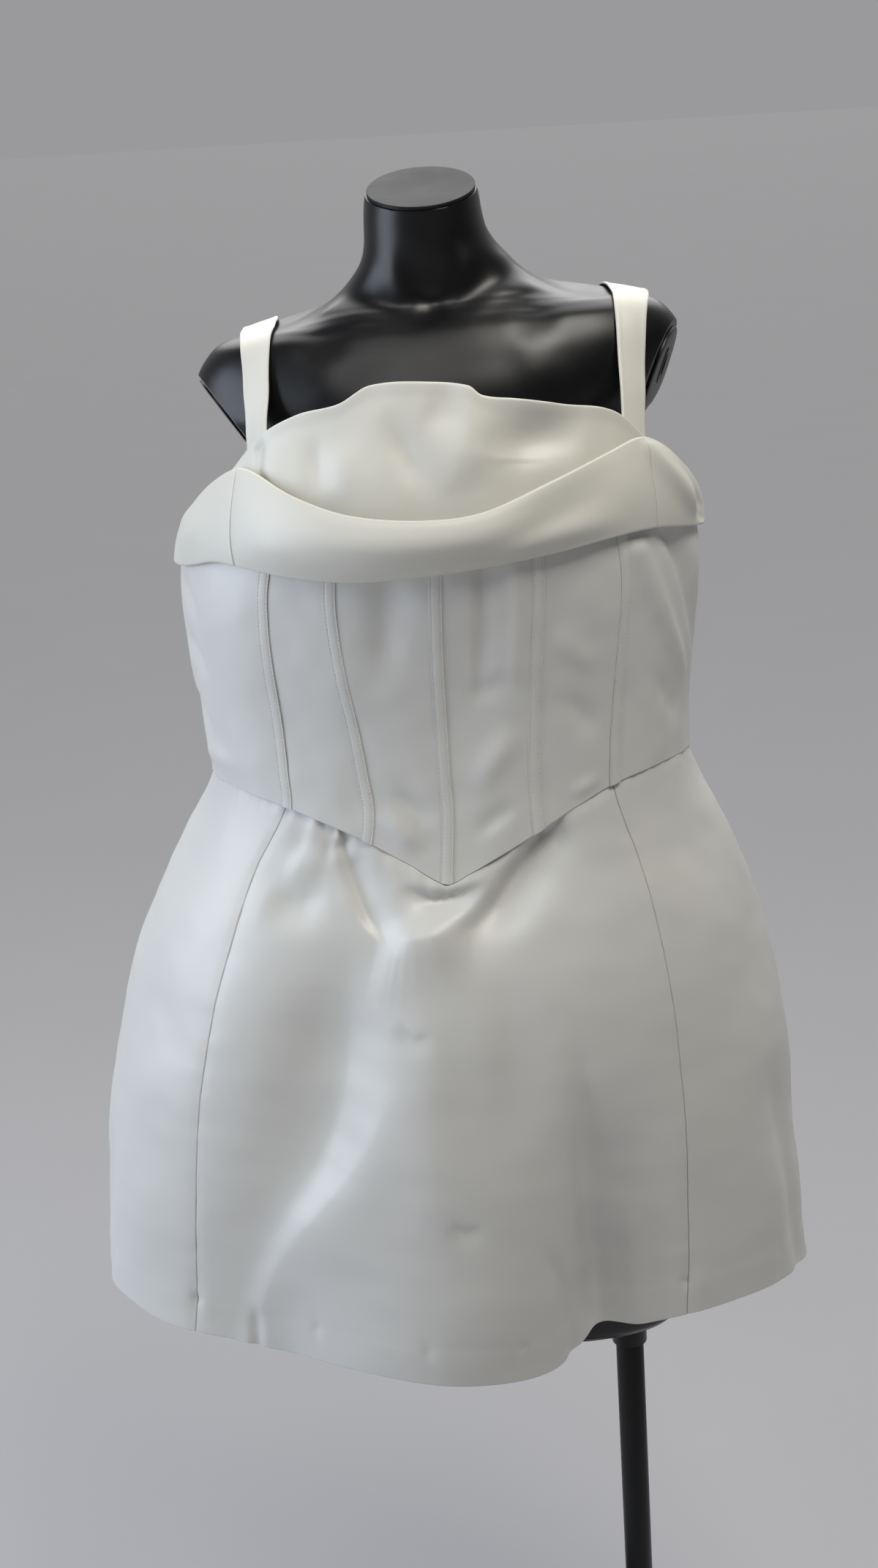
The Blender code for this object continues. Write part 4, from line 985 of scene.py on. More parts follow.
def finish_named(name):
    """A material by name, made the first time that it is asked for."""
    if name in bpy.data.materials and "slot" in bpy.data.materials[name]:
        return bpy.data.materials[name]
    colours = bpy.context.scene.dress_colours
    satin = bpy.data.node_groups.get("satin_weave") or satin_weave_group()
    wear = bpy.data.node_groups.get("surface_wear") or moulded_group()
    ivory, black = tuple(colours.satin), tuple(colours.form)
    darker = tuple(c * 0.955 for c in ivory)
    # warm is a warmer ivory. On the bust panel, band and straps it is painted warm light from
    # above, on the same satin as the rest; the thread is given it too.
    warm = (ivory[0], ivory[1] * 0.985, ivory[2] * 0.93)
    warm_dark = tuple(c * 0.955 for c in warm)
    if name == "satin":
        return satin_material(name, "ivory_satin", ivory, darker, colours.satin_roughness, satin)
    # A warmer copy of the satin for the upper pieces, which face the warm light from above: painted
    # warm light, with a slightly softer shine.
    if name == "satin_folded":
        rough = colours.satin_roughness + 0.03
        return satin_material(name, "ivory_satin", warm, warm_dark, rough, satin)
    if name == "thread":
        return satin_material(name, "ivory_satin", warm, warm_dark, 0.55, satin)
    if name == "form_black":
        high = tuple(c * 1.6 for c in black)
        return hard_material(name, "black_form", black, high, 0.34, 0.04, 0.0, 110.0,
                             0.00010, wear, shine=0.42)
    if name == "form_cap":
        high = tuple(c * 1.9 for c in black)
        return hard_material(name, "black_form", black, high, 0.50, 0.05, 0.0, 900.0,
                             0.00010, wear, shine=0.22)
    if name == "steel":
        return hard_material(name, "dark_steel", (0.012, 0.012, 0.0125), (0.020, 0.020, 0.021),
                             0.34, 0.05, 0.2, 400.0, 0.00005, wear, shine=0.25)
    if name == "zip_nickel":
        return hard_material(name, "zip_metal", (0.62, 0.61, 0.58), (0.78, 0.77, 0.73),
                             0.30, 0.05, 1.0, 900.0, 0.00002, wear)
    raise ValueError(f"no finish is called {name}")


class DressSizes(bpy.types.PropertyGroup):
    wall: FloatProperty(
        name="Cloth", description="Thickness of the satin with its backing", default=0.0016,
        min=0.0008, max=0.003, unit="LENGTH", precision=4)
    step: FloatProperty(
        name="Mesh step", description="Distance between a panel's points", default=0.0028,
        min=0.002, max=0.02, unit="LENGTH", precision=4)
    channel: FloatProperty(
        name="Channel width", description="Width of a bone channel", default=0.010,
        min=0.006, max=0.014, unit="LENGTH", precision=4)
    stitch: FloatProperty(
        name="Stitch", description="Length from one topstitch to the next", default=0.0032,
        min=0.002, max=0.006, unit="LENGTH", precision=4)


class DressColours(bpy.types.PropertyGroup):
    satin: FloatVectorProperty(
        name="Satin", description="Ivory of the cloth", default=(0.715, 0.712, 0.680),
        subtype="COLOR", min=0.0, max=1.0)
    satin_roughness: FloatProperty(
        name="Satin roughness", description="Softness of the cloth's shine", default=0.43,
        min=0.1, max=0.9, subtype="FACTOR")
    form: FloatVectorProperty(
        name="Form", description="Black of the dress form", default=(0.0035, 0.0036, 0.0042),
        subtype="COLOR", min=0.0, max=1.0)


class StudioSettings(bpy.types.PropertyGroup):
    window_power: FloatProperty(
        name="Window", description="Power of the large cool light on the left", default=44.0,
        min=0.0, max=500.0, unit="POWER")
    ceiling_power: FloatProperty(
        name="Ceiling", description="Power of the warmer light from above", default=40.0,
        min=0.0, max=500.0, unit="POWER")
    surround_back: FloatProperty(
        name="Surround behind", description="Strength of the even light behind the dress",
        default=0.335, min=0.0, max=5.0)
    surround_front: FloatProperty(
        name="Surround in front", description="Strength of the even light behind the camera",
        default=0.015, min=0.0, max=5.0)
    floor_power: FloatProperty(
        name="Floor light", description="Strength of the soft light on the floor", default=2.45,
        min=0.0, max=20.0)
    floor: FloatVectorProperty(
        name="Floor", description="Colour of the floor", default=(0.42, 0.415, 0.425),
        subtype="COLOR", min=0.0, max=1.0)


class DRESS_OT_skirt(bpy.types.Operator):
    """Make the seven panels of the skirt"""

    bl_idname = "dress.skirt"
    bl_label = "Skirt"

    def execute(self, context):
        sizes = context.scene.dress_sizes
        turns = {bone.name: bone.angle_at_waist for bone in BONES}
        left, right = turns["front_outer_L"], turns["front_outer_R"]
        back_left, back_right = turns["back_outer_L"], turns["back_outer_R"]
        cuts = {
            "front": (left, right, 0.9),
            "side_front_R": (right, SIDE_SEAM, 1.1),
            "side_back_R": (SIDE_SEAM, back_right, 1.3),
            "back_R": (back_right, CENTRE_BACK, 1.3),
            "side_front_L": (-SIDE_SEAM, left, 1.1),
            "side_back_L": (back_left, -SIDE_SEAM, 1.3),
            "back_L": (-CENTRE_BACK, back_left, 1.3),
        }
        shaped = {left: princess_line("left"), right: princess_line("right")}
        for name, (start, end, coarse) in cuts.items():
            lines = [shaped.get(turn, steady(turn)) for turn in (start, end)]
            panel(f"skirt_{name}", lines, (hem_height, waist_height), sizes.step * coarse,
                  SKIRT_CREASES, finish_named("satin"), sizes, hem=True, seed=11, broad=0.0011)
        return {"FINISHED"}


class DRESS_OT_bodice(bpy.types.Operator):
    """Make the twelve panels of the boned bodice"""

    bl_idname = "dress.bodice"
    bl_label = "Bodice"

    def execute(self, context):
        sizes = context.scene.dress_sizes
        lines = [bone_line(bone) for bone in BONES]
        lines.insert(7, steady(SIDE_SEAM))
        lines.insert(2, steady(-SIDE_SEAM))
        lines = [steady(-CENTRE_BACK), *lines, steady(CENTRE_BACK)]
        names = ("centre_back", "back", "side_back", "side_front", "front", "centre_front")
        names = [f"{n}_L" for n in names] + [f"{n}_R" for n in reversed(names)]
        for name, *pair in zip(names, lines, lines[1:]):
            coarse = 1.0 if "front" in name else 1.3
            bare = (SIDE_SEAM, CENTRE_BACK)
            valleys = [0.0006 if abs(line(MID_BODICE)) in bare else 0.0001 for line in pair]
            panel(f"bodice_{name}", pair, (waist_height, bodice_height), sizes.step * coarse,
                  BODICE_CREASES, finish_named("satin"), sizes, seed=BODICE_SEED, broad=BODICE_WAVE,
                  valleys=valleys)
        return {"FINISHED"}


def bodice_bed(angle, height):
    """How far the bodice's relief lifts what is sewn on it."""
    relief = cloth_relief(BODICE_CREASES, angle, height, BODICE_WAVE, BODICE_SEED)
    return relief * BODICE_LINING_SHARE


def channel_grid(bone, across, up_step):
    """The angles, heights and sideways places of a channel over a bodice seam."""
    line = bone_line(bone)
    low = float(waist_height(np.array(bone.angle_at_waist)))
    rows = round((BODICE_TOP - low) / up_step)
    share, rise = np.meshgrid(across, np.linspace(0.0, 1.0, rows + 1))
    angle = line(np.full_like(rise, MID_BODICE))
    for _ in range(5):
        height = mix(waist_height(angle) + SEAM_GAP / 2, BODICE_TOP - SEAM_GAP / 2, rise)
        middle = line(height)
        angle = middle + degrees_for(share, middle, height)
    return angle, height


class DRESS_OT_bone_channels(bpy.types.Operator):
    """Make the narrow channels that hold the bones, and their topstitching"""

    bl_idname = "dress.bone_channels"
    bl_label = "Bone channels"

    def execute(self, context):
        sizes = context.scene.dress_sizes
        half, thick = sizes.channel / 2, CHANNEL_THICKNESS
        places = half * np.array(
            [-1.0, -0.97, -0.90, -0.80, -0.70, -0.60, -0.45, -0.25, 0.0,
             0.25, 0.45, 0.60, 0.70, 0.80, 0.90, 0.97, 1.0])
        stitch_at = half * 0.72
        satin, thread = finish_named("satin"), finish_named("thread")
        for bone in BONES:
            angle, height = channel_grid(bone, places, 0.0018)
            across = np.broadcast_to(places, angle.shape)
            ends = np.minimum(height - waist_height(angle), BODICE_TOP - height)
            bed = bodice_bed(angle, height)
            crown = 0.0002 * np.cos(np.clip(across / stitch_at, -1, 1) * math.pi / 2)
            row = np.exp(-(((np.abs(across) - stitch_at) / 0.0006) ** 2))
            beat = 0.5 + 0.5 * np.cos(2 * math.pi * height / sizes.stitch)
            edge = rounded_edge(half - np.abs(across), 0.0004)
            out = SEAM_GAP + thick + crown - row * (0.00022 + 0.00018 * beat) - edge + bed
            out -= rounded_edge(ends, 0.0006)
            base, normal = dress_surface(angle, height), dress_normal(angle, height)
            outer = base + normal * out[..., None]
            inner = base + normal * (SEAM_GAP * 0.6 + bed)[..., None]
            name = f"bone_channel_{bone.name}"
            made = wall(f"{name}_cloth", outer, inner)
            finish_cloth(made, satin, name)
            self.add_stitches(bone, stitch_at, sizes, thread, SEAM_GAP + thick)
        return {"FINISHED"}

    def carrier(self, bone):
        """The bodice piece under a channel's left half."""
        panels = {
            "back_inner_L": "centre_back_L", "back_outer_L": "back_L",
            "front_outer_L": "side_front_L", "front_inner_L": "front_L",
            "centre_front": "centre_front_L", "front_inner_R": "centre_front_R",
            "front_outer_R": "front_R", "back_outer_R": "side_back_R", "back_inner_R": "back_R",
        }
        return f"bodice_{panels[bone.name]}"

    def add_stitches(self, bone, stitch_at, sizes, thread, lift):
        """Two rows of short threads, each sunk at its ends."""
        points, faces = [], []
        sides, rings = 6, 5
        radius, length = 0.00026, sizes.stitch * 0.78
        line = bone_line(bone)
        low = float(waist_height(np.array(bone.angle_at_waist))) + 0.004
        count = int((BODICE_TOP - 0.004 - low) / sizes.stitch)
        heights = low + sizes.stitch * (np.arange(count) + 0.5)
        for side in (-1, 1):
            for step in np.linspace(-0.5, 0.5, rings):
                height = heights + step * length
                middle = line(height)
                angle = middle + degrees_for(side * stitch_at, middle, height)
                bed = bodice_bed(angle, height)
                sink = 0.00045 * (2 * abs(step)) ** 3
                centre = dress_surface(angle, height)
                normal = dress_normal(angle, height)
                ahead = dress_surface(angle, height + 0.001) - dress_surface(angle, height - 0.001)
                sideways = unit(np.cross(ahead, normal))
                centre = centre + normal * (lift - 0.00012 - sink + bed)[..., None]
                size = radius * (1.0 - 0.45 * (2 * abs(step)) ** 2)
                for k in range(sides):
                    turn = 2 * math.pi * k / sides
                    points.append(
                        centre + size * (normal * math.cos(turn) + sideways * math.sin(turn)))
        points = np.array(points).reshape(2, rings, sides, count, 3)
        points = points.transpose(0, 3, 1, 2, 4).reshape(-1, 3)
        for n in range(2 * count):
            first = n * rings * sides
            faces += grid_faces(rings, sides, first, flip=True, close=True)
            faces.append(tuple(range(first, first + sides)))
            last = first + (rings - 1) * sides
            faces.append(tuple(range(last + sides - 1, last - 1, -1)))
        made = add_mesh(f"topstitching_{bone.name}", points, faces, points[:, [0, 2]], 80.0)
        recalculate(made)
        finish_piece(made, thread)


def recalculate(made):
    """Turns a piece's faces outwards."""
    shape = bmesh.new()
    shape.from_mesh(made.data)
    bmesh.ops.recalc_face_normals(shape, faces=shape.faces[:])
    shape.to_mesh(made.data)
    shape.free()


class DRESS_OT_bust_panel(bpy.types.Operator):
    """Make the upper bust panel, whose soft folded edge is the neckline"""

    bl_idname = "dress.bust_panel"
    bl_label = "Bust panel"

    def execute(self, context):
        sizes = context.scene.dress_sizes
        lines = (steady(-COWL_END), steady(COWL_END))
        angle, height, (left, right, _, high) = panel_grid(
            *lines, bodice_height, cowl_height, coarser(0.0022))
        out = cloth_relief(COWL_CREASES, angle, height, 0.0010, 51)
        sides = np.minimum(left, right)
        fold = 0.0019
        lip = 0.0012 * (1.0 - smoothstep(0.0, 0.012, high))
        out += lip - rounded_edge(high, fold)
        out -= 0.5 * rounded_edge(sides, 0.0008)
        wall_out = sizes.wall + 2 * lip - rounded_edge(high, fold)
        base, normal = dress_surface(angle, height), dress_normal(angle, height)
        outer = base + normal * out[..., None]
        inner_out = out - wall_out + rounded_edge(high, fold) * 0.98
        inner_out = np.minimum(inner_out, out - 0.0002)
        inner = base + normal * inner_out[..., None]
        # The bust panel's satin has painted warm light from above in its colour.
        satin = finish_named("satin_folded")
        made = wall("bust_panel_cloth", outer, inner)
        finish_cloth(made, satin, "bust_panel")
        return {"FINISHED"}


def corner_slant(angle, share):
    near = np.exp(-(((angle - BAND_CORNERS[0]) / CORNER_REACH) ** 2))
    return CORNER_SLANT * near * (1.0 - share)


class DRESS_OT_folded_band(bpy.types.Operator):
    """Make the folded band round the neckline, in three pieces"""

    bl_idname = "dress.folded_band"
    bl_label = "Folded band"

    def execute(self, context):
        # The band's satin has painted warm light from above in its colour.
        satin = finish_named("satin_folded")
        cuts = {
            "band_front": (*BAND_CORNERS, 0.0021),
            "band_side_R": (BAND_CORNERS[1], CENTRE_BACK, 0.0028),
            "band_side_L": (-CENTRE_BACK, BAND_CORNERS[0], 0.0028),
        }
        for name, (start, end, step) in cuts.items():
            start = start + float(degrees_for(SEAM_GAP / 2, start, BODICE_TOP))
            end = end - float(degrees_for(SEAM_GAP / 2, end, BODICE_TOP))
            width = (end - start) / float(degrees_for(1.0, (start + end) / 2, BODICE_TOP))
            angles = mix(start, end, steps_across(width, coarser(step)))
            made = self.band_piece(name, angles, start, end)
            finish_cloth(made, satin, name)
        return {"FINISHED"}

    def band_piece(self, name, angles, start, end):
        """A closed tube of folded cloth: up its outside, over its fold and down its inside."""
        levels, arc = 30, 6
        shares = np.linspace(0.0, 1.0, levels + 1)
        column, share = np.meshgrid(angles, shares)
        turn = column + corner_slant(column, share)
        low, high, low_out, high_out, belly = (
            along(FOLDED_BAND, piece, turn) for piece in Band._fields[1:])
        height = mix(low + BAND_HALF, high - BAND_HALF, share)
        spine = mix(low_out, high_out, share) + belly * 4 * share * (1 - share)
        end_in = np.minimum(column - start, end - column) / degrees_for(1.0, column, BODICE_TOP)
        ends = rounded_edge(end_in, 0.0012) + 0.0004 * np.exp(-((end_in / 0.005) ** 2))
        relief = crease_relief(BAND_CREASES, turn, share, 1.0 / 12.0)
        u = np.radians(turn) * BAND_RADIUS
        relief += 0.0007 * ripples(u, share * 0.06, 0.090, 71)
        relief *= np.sin(math.pi * np.clip(share, 0, 1)) ** 0.6
        puff = BAND_HALF + 0.0006 * smoothstep(0.75, 1.0, share)
        surface, normal = dress_surface(turn, height), dress_normal(turn, height)
        outside = surface + normal * (spine + puff + relief - ends)[..., None]
        inside = surface + normal * (spine - BAND_HALF + ends * 0.4)[..., None]
        up_way = unit(np.gradient(surface, axis=0))
        turns = np.linspace(0.0, math.pi, arc + 2)[1:-1]
        rows = [*outside]
        for t in turns:
            reach = mix(outside[-1], inside[-1], (1 - math.cos(t)) / 2)
            rows.append(reach + up_way[-1] * BAND_HALF * math.sin(t))
        rows += [*inside[::-1]]
        for t in turns:
            reach = mix(inside[0], outside[0], (1 - math.cos(t)) / 2)
            rows.append(reach - up_way[0] * BAND_HALF * math.sin(t))
        grid = np.array(rows)
        count, across = grid.shape[:2]
        steps = np.linalg.norm(np.diff(grid, axis=0), axis=-1).mean(axis=1)
        v = np.concatenate([[0.0], np.cumsum(steps)])
        places = np.stack(np.broadcast_arrays(u[0][None, :], v[:, None]), -1).reshape(-1, 2)
        faces = []
        for j in range(count):
            after = (j + 1) % count
            for i in range(across - 1):
                faces.append((j * across + i, j * across + i + 1,
                              after * across + i + 1, after * across + i))
        for i, first in ((0, True), (across - 1, False)):
            faces += self.end_faces(i, across, levels, arc, first)
        return add_mesh(f"{name}_cloth", grid.reshape(-1, 3), faces, places)

    def end_faces(self, i, across, levels, arc, first):
        """Rungs from the outside to the inside over one end of the tube."""
        count = 2 * (levels + 1) + 2 * arc
        at = lambda j: (j % count) * across + i
        faces = []
        outer = list(range(levels + 1))
        inner = [2 * levels + 1 + arc - k for k in outer]
        for k in range(levels):
            faces.append((at(outer[k]), at(outer[k + 1]), at(inner[k + 1]), at(inner[k])))
        top = [levels + k for k in range(arc + 2)]
        foot = [2 * levels + 1 + arc + k for k in range(arc + 2)]
        faces += [tuple(at(j) for j in top), tuple(at(j) for j in foot)]
        return faces if first else [face[::-1] for face in faces]


def upper_hull(points):
    """The taut line over points in a plane, each (along, height)."""
    hull = []
    for p in sorted(points):
        while len(hull) > 1:
            (ax, az), (bx, bz) = hull[-2], hull[-1]
            if (bx - ax) * (p[1] - az) - (bz - az) * (p[0] - ax) < 0:
                break
            hull.pop()
        hull.append(p)
    return hull


def spaced(points, count):
    """Points at even distances along a line of points."""
    points = np.array(points)
    lengths = np.concatenate([[0.0], np.cumsum(np.linalg.norm(np.diff(points, axis=0), axis=1))])
    at = np.linspace(0.0, lengths[-1], count)
    return np.stack([np.interp(at, lengths, points[:, k]) for k in range(3)], -1)


class DRESS_OT_straps(bpy.types.Operator):
    """Make the two shoulder straps"""

    bl_idname = "dress.straps"
    bl_label = "Straps"

    def execute(self, context):
        # The straps' satin has painted warm light from above in its colour.
        satin = finish_named("satin_folded")
        node = bpy.data.objects["form_torso"]
        corners = [v.co.copy() for v in node.data.vertices]
        tree = BVHTree.FromPolygons(corners, [tuple(p.vertices) for p in node.data.polygons])
        for strap in STRAPS:
            columns = [self.line(strap, k, tree) for k in (0.0, 0.5, 1.0)]
            if strap.side < 0:
                columns = columns[::-1]
            self.make(strap, np.array(columns), satin)
        return {"FINISHED"}

    def line(self, strap, k, tree):
        """One of the strap's lines: from inside the bust panel, taut over the shoulder and
        down inside the bodice's back."""
        side, inward = strap.side, -(SOLID_CLOTH_WALL + 3 * SEAM_GAP + SOLID_STRAP_HALF)
        turn = math.radians(STRAP_FRONT_TURN)
        across = np.array([side * math.cos(turn), math.sin(turn), 0.0])
        foot = [dress_point(side * strap.front_angle, h, inward) + across * STRAP_WIDTH * k
                for h in STRAP_FRONT_LEVELS]
        spread = STRAP_WIDTH * (k - 0.5)
        at = STRAP_BACK_ANGLE - float(degrees_for(spread, STRAP_BACK_ANGLE, BODICE_TOP))
        tail = [dress_point(side * at, h, inward) for h in STRAP_BACK_LEVELS]
        top_x = strap.top_x + side * spread
        front, back = foot[-1], tail[0]
        lifted = STRAP_LIFT + SOLID_STRAP_HALF

        def x_at(y):
            end = front if y < 0 else back
            return float(mix(top_x, end[0], smoothstep(0.0, 1.0, y / end[1])))

        profile = [(front[1], front[2]), (back[1], back[2])]
        for n in range(161):
            y = mix(front[1], back[1], n / 160)
            hit = tree.ray_cast(Vector((x_at(y), y, 1.6)), Vector((0, 0, -1)))
            if hit[0] is not None and hit[0].z > SHOULDER_LOW:
                flat = Vector((0.0, hit[1].y, hit[1].z))
                rise = flat * lifted / flat.length_squared
                profile.append((y + rise.y, hit[0].z + rise.z))
        taut = [(x_at(y), y, z) for y, z in upper_hull(profile)]
        line = np.concatenate([foot[:-1], spaced(taut, 60), tail[1:]])
        for _ in range(3):
            line[1:-1] = line[1:-1] * 0.5 + (line[:-2] + line[2:]) * 0.25
        return spaced(line, 190)

    def make(self, strap, columns, satin):
        """The doubled strap with rounded folds at its edges."""
        left, middle, right = columns
        shares = steps_across(STRAP_WIDTH, 0.0022, (0.0, 0.00025, 0.0006, 0.0012, 0.0020))
        s = shares[None, :, None]
        grid = (left[:, None] * (1 - s) * (1 - 2 * s) + middle[:, None] * 4 * s * (1 - s)
                + right[:, None] * s * (2 * s - 1))
        ahead, across = np.gradient(grid, axis=0), np.gradient(grid, axis=1)
        normal = unit(np.cross(across, ahead))
        edge_in = np.minimum(shares, 1 - shares) * STRAP_WIDTH
        thin = STRAP_HALF - rounded_edge(edge_in, STRAP_HALF * 0.98)
        crown = 0.0005 * np.exp(-((edge_in - 0.0022) / 0.0016) ** 2)
        lengthwise = np.linspace(0.0, 0.5, len(grid))[:, None]
        places = np.broadcast_arrays(lengthwise, shares[None, :] * 0.03)
        wave = 0.0004 * ripples(*places, 0.05, 91 + strap.side)
        outer = grid + normal * (thin + crown + wave)[..., None]
        inner = grid - normal * (thin - wave)[..., None]
        name = f"strap_{strap.mark}"
        made = wall(f"{name}_cloth", outer, inner)
        finish_cloth(made, satin, name)


def form_point(level, angle):
    """Points of the dress form, on the ring at a level. A ring's height changes round it."""
    turn = np.radians(angle)
    facing = np.cos(turn)
    ahead = facing > 0
    half_width = along(FORM_RINGS, "half_width", level)
    depth = np.where(ahead, along(FORM_RINGS, "front", level), along(FORM_RINGS, "back", level))
    reach = np.where(ahead, along(FORM_RINGS, "front_z", level), along(FORM_RINGS, "back_z", level))
    height = mix(along(FORM_RINGS, "side_z", level), reach, facing * facing)
    swell = 1.0 + along(FORM_RINGS, "square", level) * np.sin(2 * turn) ** 2
    x = half_width * np.sin(turn) * swell
    shoulders = smoothstep(1.29, 1.38, height) * (1 - smoothstep(1.44, 1.48, height))
    x = x + SHOULDER_SHIFT * shoulders
    height = height + SHOULDER_TILT * x * shoulders
    flat = NECK_TOP + NECK_TILT * (-depth * facing)
    height = mix(height, flat, smoothstep(21.2, TOP_RING, level))
    return np.stack([x, -depth * facing * swell, height], -1)


def arm_face(cut):
    """An arm cut as its solid has it and as it is turned a little to the front: a point and a
    normal, the turn, and the turned point and normal."""
    foot = Vector((cut.foot_x, 0.0, cut.foot_z))
    rise = Vector((cut.top_x, 0.0, cut.top_z)) - foot
    normal = Vector((cut.side * rise.z, 0.0, -cut.side * rise.x)).normalized()
    turn = Matrix.Rotation(-cut.side * math.radians(ARM_TURN), 3, "Z")
    faced = turn @ normal
    return foot, normal, turn, foot - faced * ARM_DRAW_IN, faced


class DRESS_OT_dress_form(bpy.types.Operator):
    """Make the limbless black form, cut flat and closed at its arms"""

    bl_idname = "dress.dress_form"
    bl_label = "Dress form"

    def execute(self, context):
        black = finish_named("form_black")
        sides, rows = ((192, 177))
        levels = np.linspace(0.0, TOP_RING, rows)
        angle, level = np.meshgrid(np.arange(sides) * 360.0 / sides, levels)
        grid = form_point(level, angle)
        grid = grid + self.relief(grid)
        count = len(levels)
        faces = grid_faces(count, sides, close=True)
        faces.append(tuple(range(sides - 1, -1, -1)))
        faces.append(tuple((count - 1) * sides + i for i in range(sides)))
        made = add_mesh("form_body", grid.reshape(-1, 3), faces, None, 38.0)
        shape = bmesh.new()
        shape.from_mesh(made.data)
        for cut in ARM_CUTS:
            self.cut_arm(shape, cut)
        bmesh.ops.recalc_face_normals(shape, faces=shape.faces[:])
        shape.to_mesh(made.data)
        shape.free()
        made.data.shade_smooth()
        made.data.set_sharp_from_angle(angle=math.radians(38))
        finish_piece(made, black, replaces=["form_torso"])
        return {"FINISHED"}

    def relief(self, grid):
        """The soft modelling of the chest and neck, along the form's normals."""
        around = np.roll(grid, -1, axis=1) - np.roll(grid, 1, axis=1)
        normal = unit(np.cross(around, np.gradient(grid, axis=0)))
        out = np.zeros(grid.shape[:2])
        for crease in FORM_CREASES:
            out += crease_shape(crease, smooth_line(crease.line), grid[..., 0], grid[..., 2])
        out *= 1.0 - smoothstep(-0.030, -0.010, grid[..., 1])
        return normal * out[..., None]

    def cut_arm(self, shape, cut):
        """Cuts the shoulder off flat, with its face closed."""
        foot, normal = arm_face(cut)[3:]
        near = [f for f in shape.faces if min(v.co.z for v in f.verts) > ARM_CUT_LOW]
        near = [f for f in near if cut.side * f.calc_center_median().x > ARM_CUT_IN]
        parts = near + list({e for f in near for e in f.edges})
        parts += list({v for f in near for v in f.verts})
        bmesh.ops.bisect_plane(
            shape, geom=parts, plane_co=foot, plane_no=normal, clear_outer=True, dist=1e-6)
        rim = [e for e in shape.edges if e.is_boundary]
        bmesh.ops.contextual_create(shape, geom=rim)


def start_round(name, radius, low, high, x=0.0, y=0.0, sides=96):
    """A new cylinder standing between two heights, with its place applied."""
    bpy.ops.object.select_all(action="DESELECT")
    bpy.ops.mesh.primitive_cylinder_add(
        vertices=sides, radius=radius, depth=high - low, location=(x, y, (low + high) / 2))
    made = bpy.context.object
    made.name = made.data.name = name
    bpy.ops.object.transform_apply(location=True, rotation=True, scale=True)
    return made


def select_faces(made, test):
    """Selects the faces whose middle and normal pass a test, and goes into edit mode."""
    bpy.ops.object.mode_set(mode="EDIT")
    bpy.ops.mesh.select_mode(type="FACE")
    bpy.ops.mesh.select_all(action="DESELECT")
    bpy.ops.object.mode_set(mode="OBJECT")
    for face in made.data.polygons:
        face.select = bool(test(face.center, face.normal))
    bpy.ops.object.mode_set(mode="EDIT")


def bevelled(made, width, segments=3, angle=30.0):
    """Rounds a hard piece's edges and smooths its shading."""
    edge = made.modifiers.new("edge", "BEVEL")
    edge.width, edge.segments = width, segments
    edge.limit_method, edge.angle_limit = "ANGLE", math.radians(angle)
    bpy.ops.object.select_all(action="DESELECT")
    made.select_set(True)
    bpy.context.view_layer.objects.active = made
    bpy.ops.object.modifier_apply(modifier="edge")
    bpy.ops.object.shade_smooth_by_angle(angle=math.radians(35))
    return made


